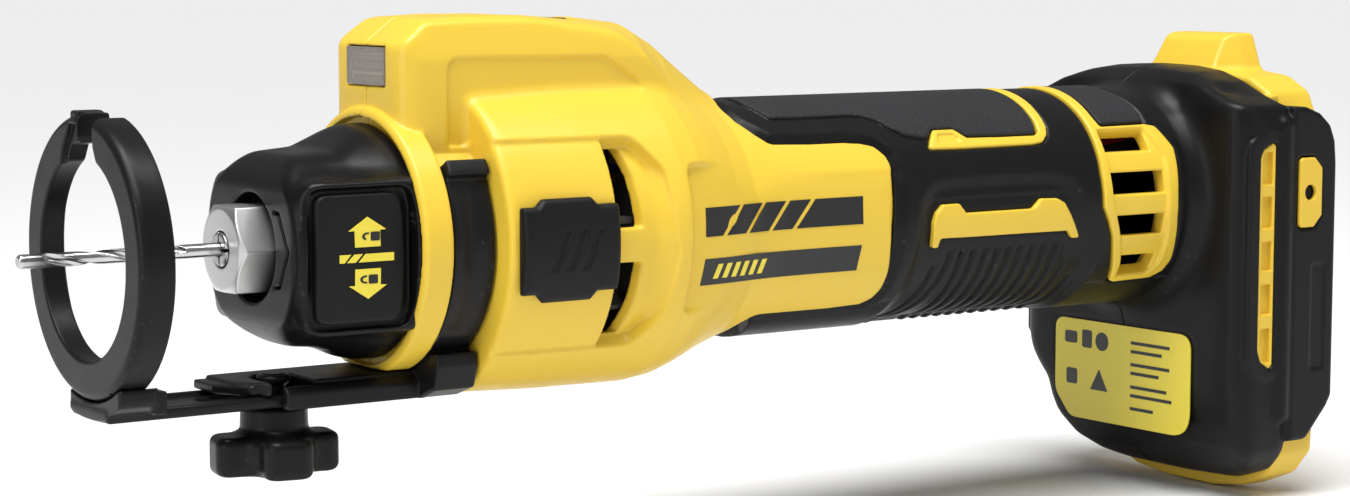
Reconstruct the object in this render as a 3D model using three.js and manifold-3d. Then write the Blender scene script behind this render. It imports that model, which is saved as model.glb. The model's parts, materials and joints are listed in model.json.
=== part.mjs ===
// Cordless rotary cut-out tool: a barrel-grip spiral saw with a brushless motor,
// a twist-lock nose, a sliding depth guide and a slide-in battery foot.
// Millimetres, +Z up. The spindle axis is the X axis; the bit points to -X.
// The origin is the seat pad on the floor of the battery receptacle.
import * as THREE from 'three';
import { mergeVertices } from 'three/addons/utils/BufferGeometryUtils.js';
import Module from 'manifold-3d';

const wasm = await Module();
wasm.setup();

// ---------------------------------------------------------------- dimensions
const GAP = 0.3; // clearance between touching pieces

const BIT_D = 3.175; // 1/8 in shank
const BIT_TIP_X = -341.3;
const BIT_END_X = -279.5;
const NUT_AF = 19;
const NUT_FRONT_X = -294.2;
const NUT_REAR_X = -277.6;

const COLLAR_FRONT_X = -259.4;
const COLLAR_REAR_X = -252.2;
const COLLAR_R = 30.5;
const GROOVE_R = 26.5;
const BARREL_FRONT_X = -240.4;
const BARREL_R = 37.7;
const TAPER_X = -182.7;
const GRIP_FRONT_X = -160.3;
const GRIP_R = 29.3;
const CORE_R = 26.4;
const CORE_IN_R = 24.0;
const CORE_REAR_X = -24.5;
const MOTOR_BORE_R = 33.5;

const NOSE_FRONT_X = -286.6;
const NOSE_BASE_R = 27.6;

const TONGUE_END_X = -127.6;
const TONGUE_Z = 20.5;

const FOOT_FRONT_X = -22.7;
const FOOT_REAR_X = 13.3;
const FOOT_HALF_W = 44;
const FOOT_TOP_Z = 34.8;
const FOOT_BOTTOM_Z = -73.6;
const RAIL_IN = 31.0;

const RING_FRONT_X = -326.2;
const RING_REAR_X = -316.2;
const RING_R = 31.0;
const RING_BORE_R = 22.35;

const BOLT_X = -281.7;
const KNOB_R = 15.0;
const KNOB_TOP_Z = -35.7;
const KNOB_BODY_Z = -42.6;
const KNOB_BOTTOM_Z = -52.3;

// ------------------------------------------------------------------- helpers
const V2 = (p) => new THREE.Vector2(p[0], p[1]);

function solid(geometry, matrix) {
  const g = geometry.index ? geometry.toNonIndexed() : geometry.clone();
  g.deleteAttribute('normal');
  g.deleteAttribute('uv');
  if (matrix) g.applyMatrix4(matrix);
  const m = mergeVertices(g, 1e-4);
  return new wasm.Manifold(
    new wasm.Mesh({
      numProp: 3,
      vertProperties: new Float32Array(m.attributes.position.array),
      triVerts: new Uint32Array(m.index.array),
    }),
  );
}

const basis = (x, y, z, o = [0, 0, 0]) =>
  new THREE.Matrix4()
    .makeBasis(
      new THREE.Vector3(...x),
      new THREE.Vector3(...y),
      new THREE.Vector3(...z),
    )
    .setPosition(...o);

function block(x0, x1, y0, y1, z0, z1) {
  return solid(
    new THREE.BoxGeometry(x1 - x0, y1 - y0, z1 - z0),
    new THREE.Matrix4().makeTranslation(
      (x0 + x1) / 2,
      (y0 + y1) / 2,
      (z0 + z1) / 2,
    ),
  );
}

// Closed profile [[along, radius], ...] turned about a line along X, Y or Z.
function turned(profile, seg = 40, axis = 'x', at = [0, 0, 0]) {
  let area = 0;
  for (let i = 0; i < profile.length; i++) {
    const a = profile[i],
      b = profile[(i + 1) % profile.length];
    area += a[1] * b[0] - b[1] * a[0];
  }
  const pts = area > 0 ? profile.slice() : profile.slice().reverse();
  // A profile that doesn't start and end on the axis is closed on itself.
  const n = pts.length;
  let start = 0;
  for (let i = 0; i < n; i++)
    if (pts[i][1] === 0 && pts[(i + n - 1) % n][1] === 0) start = i;
  const ordered = [];
  for (let i = 0; i < n; i++) ordered.push(pts[(start + i) % n]);
  if (!(ordered[0][1] === 0 && ordered[n - 1][1] === 0))
    ordered.push(ordered[0]);
  const g = new THREE.LatheGeometry(
    ordered.map((p) => new THREE.Vector2(p[1], p[0])),
    seg,
  );
  // The lathe turns about its own Y: send that to the wanted axis.
  const m = {
    x: basis([0, 1, 0], [1, 0, 0], [0, 0, -1], at),
    y: basis([1, 0, 0], [0, 1, 0], [0, 0, 1], at),
    z: basis([1, 0, 0], [0, 0, 1], [0, -1, 0], at),
  }[axis];
  return solid(g, m);
}

const rod = (x0, x1, r, seg = 32) =>
  turned([[x0, 0], [x0, r], [x1, r], [x1, 0]], seg);
const ring = (x0, x1, r0, r1, seg = 32) =>
  turned([[x0, r0], [x0, r1], [x1, r1], [x1, r0]], seg);

function prism(points, depth, matrix, holes = []) {
  const s = new THREE.Shape(points.map(V2));
  for (const h of holes) s.holes.push(new THREE.Path(h.map(V2)));
  return solid(
    new THREE.ExtrudeGeometry(s, { depth, bevelEnabled: false, steps: 1 }),
    matrix,
  );
}
// Outline in X and Z pushed along Y; in Y and Z along X; in X and Y along Z.
const prismY = (pts, y0, y1, holes) =>
  prism(pts, y1 - y0, basis([1, 0, 0], [0, 0, 1], [0, -1, 0], [0, y1, 0]), holes);
const prismX = (pts, x0, x1, holes) =>
  prism(pts, x1 - x0, basis([0, 1, 0], [0, 0, 1], [1, 0, 0], [x0, 0, 0]), holes);
const prismZ = (pts, z0, z1, holes) =>
  prism(pts, z1 - z0, basis([1, 0, 0], [0, 1, 0], [0, 0, 1], [0, 0, z0]), holes);

// Rectangle with its own radius at each corner, from the lower left, counter-clockwise.
function roundRect(x0, x1, y0, y1, r, seg = 3) {
  const rr = Array.isArray(r) ? r : [r, r, r, r];
  const c = [
    [x0, y0, 1, 1, Math.PI],
    [x1, y0, -1, 1, 1.5 * Math.PI],
    [x1, y1, -1, -1, 0],
    [x0, y1, 1, -1, 0.5 * Math.PI],
  ];
  const out = [];
  c.forEach(([x, y, sx, sy, a0], i) => {
    const q = rr[i];
    if (q <= 0) return out.push([x, y]);
    for (let k = 0; k <= seg; k++) {
      const a = a0 + ((Math.PI / 2) * k) / seg;
      out.push([x + sx * q + q * Math.cos(a), y + sy * q + q * Math.sin(a)]);
    }
  });
  return out;
}

function tube(points, r, sides = 8, steps = 24) {
  const circle = new THREE.Shape();
  for (let i = 0; i < sides; i++) {
    const a = (2 * Math.PI * i) / sides;
    if (i) circle.lineTo(r * Math.cos(a), r * Math.sin(a));
    else circle.moveTo(r, 0);
  }
  return solid(
    new THREE.ExtrudeGeometry(circle, {
      steps,
      bevelEnabled: false,
      extrudePath: new THREE.CatmullRomCurve3(
        points.map((p) => new THREE.Vector3(...p)),
      ),
    }),
  );
}

const mirrorPts = (pts) => [
  ...pts,
  ...pts.map(([a, b]) => [-a, b]).reverse(),
];
const join = (...s) => s.reduce((a, b) => a.add(b));
const cut = (a, ...s) => s.reduce((x, b) => x.subtract(b), a);
const LEFT = () => block(-400, 60, -90, -0.15, -120, 90);
const RIGHT = () => block(-400, 60, 0.15, 90, -120, 90);

const root = new THREE.Group();
function node(name, made, color, roughness = 0.5, metalness = 0) {
  const m = made.getMesh();
  const position = new Float32Array(m.numVert * 3);
  for (let i = 0; i < m.numVert; i++)
    position.set(m.vertProperties.subarray(i * m.numProp, i * m.numProp + 3), i * 3);
  const g = new THREE.BufferGeometry()
    .setAttribute('position', new THREE.BufferAttribute(position, 3))
    .setIndex(new THREE.BufferAttribute(new Uint32Array(m.triVerts), 1));
  g.computeVertexNormals();
  const mesh = new THREE.Mesh(
    g,
    new THREE.MeshStandardMaterial({ color, roughness, metalness, flatShading: true }),
  );
  mesh.name = name;
  root.add(mesh);
}

const YELLOW = 0xf2c01e,
  BLACK = 0x232325,
  RUBBER = 0x2c2c2e,
  STEEL = 0xb9bcc0,
  BLACK_STEEL = 0x1d1d1f;

// ------------------------------------------------------- housing (clamshell)
const headSide = [
  [-257.9, 12], [-257.9, 44.2], [-256.4, 46.8], [-249.8, 50.7], [-238, 51.6],
  [-221.9, 51.4], [-205.3, 50.3], [-191.2, 48.7], [-182.6, 44.3],
  [-175.3, 38.8], [-167.9, 33.1], [-160.6, 29.2], [-160.6, 12],
];
const headFront = mirrorPts([
  [-21, 18], [-21, 28.5], [-16.9, 32], [-16.9, 41.5], [-14.6, 49.4], [-12.4, 51.6],
]);
const headIn = [
  [-255.2, 20], [-255.2, 45], [-249, 48.2], [-206, 47.6], [-192.5, 46],
  [-184.4, 42], [-172, 32.5], [-166, 26], [-166, 20],
];
const tongueSide = [
  [-170, -22], [-150, -23], [-136, -20], [-129.2, -15], [TONGUE_END_X, -9],
  [TONGUE_END_X, 3], [-130.5, 12], [-134, 18.5], [-138.5, TONGUE_Z],
  [-158, TONGUE_Z], [-162, 22.5], [-170, 24],
];

let outer = turned([
  [COLLAR_FRONT_X, 0], [COLLAR_FRONT_X, 27.8], [-257.6, 29.6],
  [-255.5, COLLAR_R], [COLLAR_REAR_X, COLLAR_R], [COLLAR_REAR_X, GROOVE_R],
  [BARREL_FRONT_X, GROOVE_R], [BARREL_FRONT_X, 35.2], [-238.8, 36.3],
  [-218, 37.2], [-190, BARREL_R], [TAPER_X, 37.3], [-175.3, 36.0], [-167.8, 32.2], [GRIP_FRONT_X, GRIP_R],
  [GRIP_FRONT_X, CORE_R], [CORE_REAR_X, CORE_R], [CORE_REAR_X, 0],
], 36);
outer = outer.add(
  prismY(headSide, -24, 24).intersect(prismX(headFront, -262, -150)),
);
outer = outer.add(
  turned([[-166, 20], [-166, GRIP_R], [-120, GRIP_R], [-120, 20]], 36).intersect(
    prismY(tongueSide, -40, 40),
  ),
);

let hollow = join(
  rod(-270, -248.9, 14.4, 20),
  rod(-249, -237.9, 20.2, 20),
  turned([
    [-238, 0], [-238, MOTOR_BORE_R], [-184, MOTOR_BORE_R], [-176, 32.2],
    [-169, 28.4], [-163, 25.4], [-156, CORE_IN_R], [-10, CORE_IN_R], [-10, 0],
  ], 28),
  prismY(headIn, -11.4, 11.4),
);

// Window for the lamp lens, opening for the power button, side pockets and vents.
const lensHole = block(-262, -253, -9.3, 9.3, 35.2, 44.3);
const buttonHole = prismZ(roundRect(-226.3, -205.7, -7.8, 7.8, 5, 3), 46, 60);
const badgeOutline = [
  [-236, -8.5], [-231.5, -13], [-217.5, -13], [-213, -8.5], [-213, 7.2],
  [-217.5, 11.4], [-231.5, 11.4], [-236, 7.2],
];
const grow = (pts, d, cx, cz) =>
  pts.map(([x, z]) => [x + Math.sign(x - cx) * d, z + Math.sign(z - cz) * d]);
const badgePocket = (s) =>
  prismY(grow(badgeOutline, 0.4, -224.5, -0.8), s > 0 ? 35.6 : -45, s > 0 ? 45 : -35.6);
const sideVents = (s) => {
  const y0 = s > 0 ? 20 : -45,
    y1 = s > 0 ? 45 : -20;
  return join(
    prismY(roundRect(-212, -205, 2.9, 20.8, 1.5, 2), y0, y1),
    prismY(roundRect(-212, -205, -21.7, -4.9, 1.5, 2), y0, y1),
  );
};
const rearVentOutline = roundRect(-60.3, -30.7, -17.4, 20.4, 4, 3);
const rearVentInner = roundRect(-57, -34, -14, 17, 2, 2);
const rearVentHole = (s) =>
  prismY(rearVentInner, s > 0 ? 12 : -45, s > 0 ? 45 : -12);

let housing = cut(
  outer, hollow, lensHole, buttonHole, badgePocket(-1), badgePocket(1),
  sideVents(-1), sideVents(1), rearVentHole(-1), rearVentHole(1),
  block(-262, -250.5, -14, 14, -40, -28.8), // flat under the collar for the guide bracket
);

// Screws go in from the right side.
const screws = [
  ['screw_barrel_upper', -187.5, 22.5, 26.0],
  ['screw_barrel_lower', -187.5, -22.5, 26.0],
  ['screw_handle_upper', -148, 13.5, 23.2],
  ['screw_handle_lower', -148, -13.5, 23.2],
];
for (const [, x, z, y] of screws)
  housing = cut(
    housing,
    turned([[y - 0.3, 0], [y - 0.3, 3.6], [60, 3.6], [60, 0]], 12, 'y', [x, 0, z]),
    turned([[0.5, 0], [0.5, 1.9], [y, 1.9], [y, 0]], 8, 'y', [x, 0, z]),
  );
node('housing_left', housing.intersect(LEFT()), YELLOW, 0.4);
node('housing_right', housing.intersect(RIGHT()), YELLOW, 0.4);
for (const [name, x, z, y] of screws)
  node(
    name,
    turned([[y - 9, 0], [y - 9, 1.5], [y, 1.5], [y, 3.1], [y + 1.6, 3.1],
      [y + 2.3, 2.4], [y + 2.3, 0]], 12, 'y', [x, 0, z]),
    0x55585c, 0.35, 1,
  );

// --------------------------------------------------- black handle overmoulds
const padPatch = prismZ(roundRect(-157.5, -71, -20.6, 20.6, [2, 12, 12, 2], 3), 10, 40);
let grip = turned([
  [GRIP_FRONT_X + GAP, CORE_R + GAP], [GRIP_FRONT_X + GAP, GRIP_R],
  [-60, GRIP_R], [-32, GRIP_R + 0.4], [-27, GRIP_R + 2.4],
  [FOOT_FRONT_X - GAP - 0.3, GRIP_R + 5.4], [FOOT_FRONT_X - GAP - 0.3, CORE_R + GAP],
], 36);
grip = cut(
  grip,
  prismY(grow(tongueSide, 0.35, -150, 0), -45, 45),
  prismY(grow(rearVentOutline, GAP, -45.5, 1.5), -45, -12),
  prismY(grow(rearVentOutline, GAP, -45.5, 1.5), 12, 45),
);
const padShell = turned([
  [-157.5, 27.9], [-157.5, GRIP_R + 0.2], [-71, GRIP_R + 0.2], [-71, 27.9],
], 36).intersect(padPatch).subtract(prismY(grow(tongueSide, 0.35, -150, 0), -45, 45));
grip = cut(
  grip,
  turned([[-158, 27.6], [-158, 40], [-70.6, 40], [-70.6, 27.6]], 36).intersect(
    prismZ(roundRect(-157.9, -70.6, -21, 21, [2, 12, 12, 2], 3), 10, 60),
  ),
);
node('handle_grip_left', grip.intersect(LEFT()), RUBBER, 0.7);
node('handle_grip_right', grip.intersect(RIGHT()), RUBBER, 0.7);
node('grip_top_pad', padShell, 0x3a3a3c, 0.8);

// Rear vent frames with four openings each.
for (const [name, s] of [['rear_vent_left', -1], ['rear_vent_right', 1]]) {
  let v = turned([
    [-60.3, 27.0], [-60.3, GRIP_R + 0.3], [-30.7, GRIP_R + 0.5], [-30.7, 27.0],
  ], 36).intersect(prismY(rearVentOutline, s > 0 ? 12 : -45, s > 0 ? 45 : -12));
  for (let i = 0; i < 4; i++) {
    const z0 = -13.6 + i * 8.0;
    v = v.subtract(
      prismY(roundRect(-56.4, -34.6, z0, z0 + 5.6, 1, 1), s > 0 ? 10 : -45, s > 0 ? 45 : -10),
    );
  }
  node(name, v, YELLOW, 0.4);
}

// ------------------------------------------------------------------- badges
for (const [name, s] of [['side_badge_left', -1], ['side_badge_right', 1]])
  node(
    name,
    prismY(badgeOutline, s > 0 ? 36.0 : -38.3, s > 0 ? 38.3 : -36.0),
    BLACK, 0.5,
  );

// --------------------------------------------------------------- battery foot
const footFront = mirrorPts([
  [-FOOT_HALF_W, -56], [-FOOT_HALF_W, 24], [-40.5, 29.5], [-33, 33.4], [-24, FOOT_TOP_Z],
]);
const footFrontFull = [
  [-24, FOOT_TOP_Z], [-33, 33.4], [-40.5, 29.5], [-FOOT_HALF_W, 24],
  [-FOOT_HALF_W, -57], [-40, -66], [-32, -71.2], [-18, FOOT_BOTTOM_Z],
  [18, FOOT_BOTTOM_Z], [32, -71.2], [40, -66], [FOOT_HALF_W, -57],
  [FOOT_HALF_W, 24], [40.5, 29.5], [33, 33.4], [24, FOOT_TOP_Z],
];
const footTop = roundRect(FOOT_FRONT_X, FOOT_REAR_X, -FOOT_HALF_W, FOOT_HALF_W,
  [9.5, 0, 0, 9.5], 4);
const footSide = [
  [FOOT_FRONT_X, -66], [FOOT_FRONT_X + 6, FOOT_BOTTOM_Z], [-4, FOOT_BOTTOM_Z],
  [0.6, -68.1], [FOOT_REAR_X, -55.5], [FOOT_REAR_X, 15.4], [10.5, 20.5],
  [6.2, 22.6], [-4, 26.5], [-6, FOOT_TOP_Z], [FOOT_FRONT_X + 3.5, FOOT_TOP_Z],
  [FOOT_FRONT_X, 30.5],
];
const inner = (d) => footFrontFull.map(([y, z]) => [
  y * ((FOOT_HALF_W - d) / FOOT_HALF_W),
  -19.4 + (z + 19.4) * ((54.2 - d) / 54.2),
]);
let foot = prismX(footFrontFull, FOOT_FRONT_X, FOOT_REAR_X)
  .intersect(prismZ(footTop, -100, 60))
  .intersect(prismY(footSide, -60, 60));
foot = cut(
  foot,
  prismX(inner(2.6), FOOT_FRONT_X + 2.8, FOOT_REAR_X + 5),
  block(-3.2, 30, -36.4, 36.4, 10, 60), // room for the cap and hump
  block(-6, 30, -36.4, 36.4, -100, -60), // open below for the battery
  rod(-30, -10, CORE_R + 0.9, 28), // handle passes into the foot
);
const footVentHole = (s) =>
  prismY(roundRect(-16.1, -8.9, -47.4, 15.8, 2, 2), s > 0 ? 40 : -50, s > 0 ? 50 : -40);
const hookOutline = [
  [-0.4, -5.6], [1.4, -7.8], [5.4, -7.8], [7.2, -5.6], [7.2, 9.6], [5.4, 11.8],
  [1.4, 11.8], [-0.4, 9.6],
];
foot = cut(
  foot, footVentHole(-1), footVentHole(1),
  prismY(grow(hookOutline, GAP, 3.4, 2), -50, -43.2),
  prismY(grow(hookOutline, GAP, 3.4, 2), 43.2, 50),
);
node('foot_shell_left', foot.intersect(LEFT()), BLACK, 0.55);
node('foot_shell_right', foot.intersect(RIGHT()), BLACK, 0.55);
for (const [name, s] of [['foot_vent_left', -1], ['foot_vent_right', 1]]) {
  const y0 = s > 0 ? 41.4 : -43.4,
    y1 = s > 0 ? 43.4 : -41.4;
  const slots = [];
  for (const [a, b] of [[-43.4, -34], [-30.2, -22.2], [-18.5, -10.8], [-7.2, 1.1], [4.4, 12.6]])
    slots.push(roundRect(-14.2, -10.6, a, b, 0, 1));
  node(name, prismY(roundRect(-15.7, -9.3, -47, 15.4, 1.6, 2), y0, y1, slots), YELLOW, 0.4);
}
for (const [name, s] of [['hook_pad_left', -1], ['hook_pad_right', 1]])
  node(
    name,
    prismY(hookOutline, s > 0 ? 43.5 : -44.8, s > 0 ? 44.8 : -43.5,
      [roundRect(2.0, 4.8, -1.2, 1.6, 1.3, 3)]),
    YELLOW, 0.4,
  );
node('rating_plate', prismX(roundRect(-24, 24, -65, -37, 4, 3), -23.6, -23.0), 0xf0d53a, 0.4);

// Yellow core of the foot: the floor that the battery seats on, side rails, cap and hump.
const coreFront = inner(3.0);
let receptacle = join(
  // floor plate
  prismX(coreFront, -4.2, -1.0).intersect(block(-6, 0, -60, 60, -60.2, 60)),
  block(-4.2, -1.0, -36.1, 36.1, -80, -55),
  // side walls with inward lips
  ...[-1, 1].flatMap((s) => {
    const a = s > 0 ? 36.3 : -41.0,
      b = s > 0 ? 41.0 : -36.3;
    const c = s > 0 ? RAIL_IN : -36.5,
      d = s > 0 ? 36.5 : -RAIL_IN;
    return [
      prismY([[-4.2, -54], [FOOT_REAR_X - 0.8, -54], [FOOT_REAR_X - 0.8, 12], [8, 18.5], [-4.2, 22]], a, b),
      block(8.6, FOOT_REAR_X - 0.8, c, d, -54, 10),
    ];
  }),
  // cap over the top of the receptacle: a domed skin, open below
  cut(
    prismX(mirrorPts([[-36, 15], [-36, 21.8], [-34.4, 23.8], [-26, 31], [-16, 32.6], [-8, 33.4]]), -2.9, FOOT_REAR_X - 0.1),
    prismX(mirrorPts([[-33.6, 12], [-33.6, 20.9], [-32.6, 22.2], [-25, 28.6], [-15.5, 30.1], [-8, 30.8]]), -1, FOOT_REAR_X + 2),
    block(5, 20, -60, 60, 10, 21),
  ),
  block(-4.2, -1.0, -36, 36, 20, 27),
  // hump
  prismX(mirrorPts([[-15.7, 30], [-15.4, 33], [-13.4, 38], [-11.2, 42], [-9.6, 43.4]]), -2.1, FOOT_REAR_X - 0.1)
    .intersect(prismY([[-2.1, 29], [-2.1, 33], [3.9, 43.4], [FOOT_REAR_X - 0.1, 43.4], [FOOT_REAR_X - 0.1, 29]], -20, 20))
    .intersect(prismZ([[-2.2, -12], [FOOT_REAR_X, -15.8], [FOOT_REAR_X, 15.8], [-2.2, 12]], 20, 50)),
);
// openings for the leads and the terminals, and the raised seat pad
receptacle = cut(receptacle, block(-6, 0, -15, 15, 11, 21.6));
receptacle = receptacle.add(block(-1.5, 0, -10, 6, -7, 7));
node('battery_receptacle', receptacle, YELLOW, 0.45);

node('terminal_block', cut(
  join(block(-6.5, 6.5, -14.6, 14.6, 11.4, 21.2), block(-0.6, 5, -17, 17, 10.6, 21.2)),
  ...[-10, -3.3, 3.3, 10].map((y) => block(0.6, 4.6, y - 0.9, y + 0.9, 5, 19)),
), 0x2a2a2c, 0.6);
[['terminal_blade_minus', -10], ['terminal_blade_sense', -3.3],
  ['terminal_blade_data', 3.3], ['terminal_blade_plus', 10]].forEach(([name, y]) =>
  node(name, block(1.0, 4.2, y - 0.45, y + 0.45, 8.2, 18.5), 0xb98b3e, 0.3, 1));

// -------------------------------------------------------------- drive train
node('spiral_bit', cut(
  turned([[BIT_TIP_X, 0], [BIT_TIP_X + 0.9, BIT_D / 2], [BIT_END_X, BIT_D / 2], [BIT_END_X, 0]], 12),
  block(BIT_TIP_X - 1, -316, 0.35, 3, 0.35, 3),
  block(BIT_TIP_X - 1, -316, -3, -0.35, -3, -0.35),
), 0xc8ccd0, 0.25, 1);
node('collet', turned([
  [-294.6, 1.95], [-294.6, 3.8], [-289.2, 3.8], [-288.6, 4.5], [-278, 4.5], [-278, 1.95],
], 16), 0xa8abb0, 0.3, 1);
const hexR = NUT_AF / 2 / Math.cos(Math.PI / 6);
const hex = [0, 1, 2, 3, 4, 5].map((i) => [
  hexR * Math.cos((i * Math.PI) / 3), hexR * Math.sin((i * Math.PI) / 3)]);
node('collet_nut', cut(
  prismX(hex, NUT_FRONT_X, NUT_REAR_X).intersect(
    turned([[NUT_FRONT_X, 0], [NUT_FRONT_X, 8.9], [NUT_FRONT_X + 1.5, 11], [NUT_REAR_X, 11], [NUT_REAR_X, 0]], 24)),
  rod(-300, -270, 4.2, 16),
  rod(-289.5, -270, 7.2, 20),
), STEEL, 0.35, 1);
node('spindle', turned([
  [-287.9, 4.9], [-287.9, 6.6], [-272, 6.6], [-272, 8.2], [-266, 8.2], [-266, 5.7],
  [-247, 5.7], [-247, 4], [-192, 4], [-192, 0], [-277.4, 0], [-277.4, 4.9],
], 16), 0x9a9da2, 0.35, 1);
node('front_bearing', ring(-257, -249.2, 6.0, 14.0, 20), 0x8d9095, 0.3, 1);
node('bearing_retainer', ring(-248.7, -246.6, 8.5, 19.6, 20), 0x6f7276, 0.4, 1);
node('winding_front', ring(-237.5, -234.3, 17.5, 28, 20), 0xb5622e, 0.4, 1);
node('stator_core', ring(-234, -218.5, 16.6, 30.5, 24), 0x6a6d72, 0.5, 1);
node('winding_rear', ring(-218.2, -215, 17.5, 28, 20), 0xb5622e, 0.4, 1);
node('magnet_ring', ring(-234.5, -218, 13.6, 15.7, 20), 0x55565a, 0.4, 1);
node('rotor_core', ring(-235, -217.5, 4.4, 13.1, 20), 0x707378, 0.45, 1);
let fan = ring(-212.5, -210.8, 4.4, 31, 24).add(ring(-212, -205, 4.4, 9, 16));
for (let i = 0; i < 9; i++) {
  const a = (2 * Math.PI * i) / 9;
  fan = fan.add(
    solid(new THREE.BoxGeometry(6, 20, 1.5),
      new THREE.Matrix4().makeRotationX(a)
        .multiply(new THREE.Matrix4().makeTranslation(-208, 20.5, 3))
        .multiply(new THREE.Matrix4().makeRotationX(0.35))));
}
node('cooling_fan', fan, 0x303234, 0.5);
let endPlate = ring(-203, -193.6, 9.4, 33.0, 24);
endPlate = cut(endPlate, ring(-201, -190, 12, 40, 20).subtract(join(
  block(-202, -193, -3, 3, -33, 33), block(-202, -193, -33, 33, -3, 3))));
endPlate = cut(endPlate, ...[45, 135, 225, 315].map((d) => {
  const a = (d * Math.PI) / 180;
  return turned([[-210, 0], [-210, 6.5], [-190, 6.5], [-190, 0]], 10, 'x',
    [0, 21.5 * Math.cos(a), 21.5 * Math.sin(a)]);
}));
node('rear_bearing_plate', endPlate, 0x47494c, 0.5);
node('rear_bearing', ring(-200, -194, 4.4, 9.0, 16), 0x8d9095, 0.3, 1);

// --------------------------------------------------------- twist-lock nose
node('nose_core', ring(-281.5, COLLAR_FRONT_X - GAP, 12.8, 18.4, 20), 0x2a2a2c, 0.5);
let sleeve = turned([
  [NOSE_FRONT_X, 0], [NOSE_FRONT_X, 19.3], [-285.2, 20.9], [-282, 22.2], [-276, 23.4],
  [-270.5, 25.4], [-266, 27.0], [COLLAR_FRONT_X - GAP, NOSE_BASE_R], [COLLAR_FRONT_X - GAP, 0],
], 32)
  .intersect(prismY([
    [NOSE_FRONT_X, -14], [-283.5, -18], [-280, -21.2], [-271, -23.6], [-264, -27.6],
    [-258, -28], [-258, 28], [-266, 27], [-271.5, 22.6], [-280, 20.6], [-283.5, 18], [NOSE_FRONT_X, 14],
  ], -40, 40));
// frame of the side pad
const padFrame = roundRect(-285.2, COLLAR_FRONT_X - GAP, -17.8, 15.6, [3, 0, 0, 3], 2);
sleeve = sleeve.add(prismY(padFrame, -24.0, 24.0).intersect(
  prismZ([[-285.2, -22.4], [-281, -24], [-250, -24], [-250, 24], [-281, 24], [-285.2, 22.4]], -40, 40)));
sleeve = cut(sleeve, rod(-300, -283, 12.4, 24), rod(-284.2, -255, 18.9, 24));
const padOutline = roundRect(-282.9, -261.8, -15.6, 13.0, 3, 1);
for (const s of [-1, 1])
  sleeve = cut(sleeve, prismY(grow(padOutline, GAP, -272.3, -1.3), s > 0 ? 22.2 : -40, s > 0 ? 40 : -22.2));
node('lock_sleeve', sleeve, BLACK, 0.55);
for (const [name, s] of [['sleeve_pad_left', -1], ['sleeve_pad_right', 1]])
  node(name, prismY(padOutline, s > 0 ? 22.5 : -24.5, s > 0 ? 24.5 : -22.5), 0x2b2b2d, 0.5);

// ---------------------------------------------------------------- lamp, switch
node('led_lens', prismY([[-258.2, 35.5], [-254.9, 35.5], [-254.9, 44], [-257.4, 44], [-258.2, 43]], -9, 9), 0x8a8478, 0.1);
node('led_board', block(-254.8, -253.2, -7, 7, 36, 43), 0x2f6b3a, 0.5);
node('switch_body', block(-228, -204, -8.5, 8.5, 35, 42.6), 0x2b2b2d, 0.5);
node('power_button', join(
  prismZ(roundRect(-225.8, -206.2, -7.3, 7.3, 4.6, 3), 44.9, 51.6)), 0x1f1f21, 0.7);

// ------------------------------------------------------- electronics, leads
let tray = block(-122, -66, -17, 17, -9, 4);
tray = cut(tray, block(-120, -68, -15, 15, -6.5, 10));
node('controller_tray', tray, 0x9a9da2, 0.5, 1);
node('controller_board', block(-119.6, -68.4, -14.6, 14.6, -6.1, -1), 0x24543a, 0.5);
const leadRed = [[-66.5, 8, 8], [-55, 8, 9], [-40, 7, 11], [-25, 7, 14], [-7, 7, 16]];
node('power_lead_plus', tube(leadRed, 1.6, 6, 10), 0xb01c1c, 0.5);
node('power_lead_minus', tube(leadRed.map(([x, y, z]) => [x, -y, z]), 1.6, 6, 10), 0x151515, 0.5);
node('phase_lead_1', tube([[-124, 6, 2], [-140, 7, 4], [-160, 8, 8], [-180, 12, 12], [-190, 14, 14]], 1.3, 6, 9), 0x2c4fa0, 0.5);
node('phase_lead_2', tube([[-124, -6, 2], [-140, -7, 4], [-160, -8, 8], [-180, -12, 12], [-190, -14, 14]], 1.3, 6, 9), 0xd2d2d2, 0.5);

// -------------------------------------------------------------- depth guide
const bandArc = (r0, r1, a0, a1, n = 22) => {
  const pts = [];
  for (let i = 0; i <= n; i++) {
    const a = ((a0 + ((a1 - a0) * i) / n) * Math.PI) / 180;
    pts.push([r1 * Math.cos(a), r1 * Math.sin(a)]);
  }
  for (let i = n; i >= 0; i--) {
    const a = ((a0 + ((a1 - a0) * i) / n) * Math.PI) / 180;
    pts.push([r0 * Math.cos(a), r0 * Math.sin(a)]);
  }
  return pts;
};
let bracket = join(
  prismX(bandArc(26.9, 29.4, 143, 397), -251.6, -240.8),
  // end tabs
  prismX(bandArc(27.5, 32, 142, 150, 2), -251.6, -240.8),
  prismX(bandArc(27.5, 32, 30, 38, 2), -251.6, -240.8),
  // yoke under the collar, top plate and side flanges
  prismX([[-20.6, -24.4], [-19.4, -32.6], [-12.6, -35.3], [12.6, -35.3], [19.4, -32.6], [20.6, -24.4]], -251.6, -240.8),
  block(-301.5, -250, -10.5, 10.5, -31.9, -29.2),
  block(-283.7, -250, -12.6, -10.4, -35.3, -29.2),
  block(-283.7, -250, 10.4, 12.6, -35.3, -29.2),
);
bracket = cut(bracket,
  block(-256, -236, -10.1, 10.1, -37, -32.2),
  turned([[-40, 0], [-40, 3.2], [-20, 3.2], [-20, 0]], 16, 'z', [BOLT_X, 0, 0]),
  prismX(bandArc(0.1, 26.8, 0, 359.9, 40), -256, -236));
node('guide_bracket', bracket, BLACK_STEEL, 0.5, 1);

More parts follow.
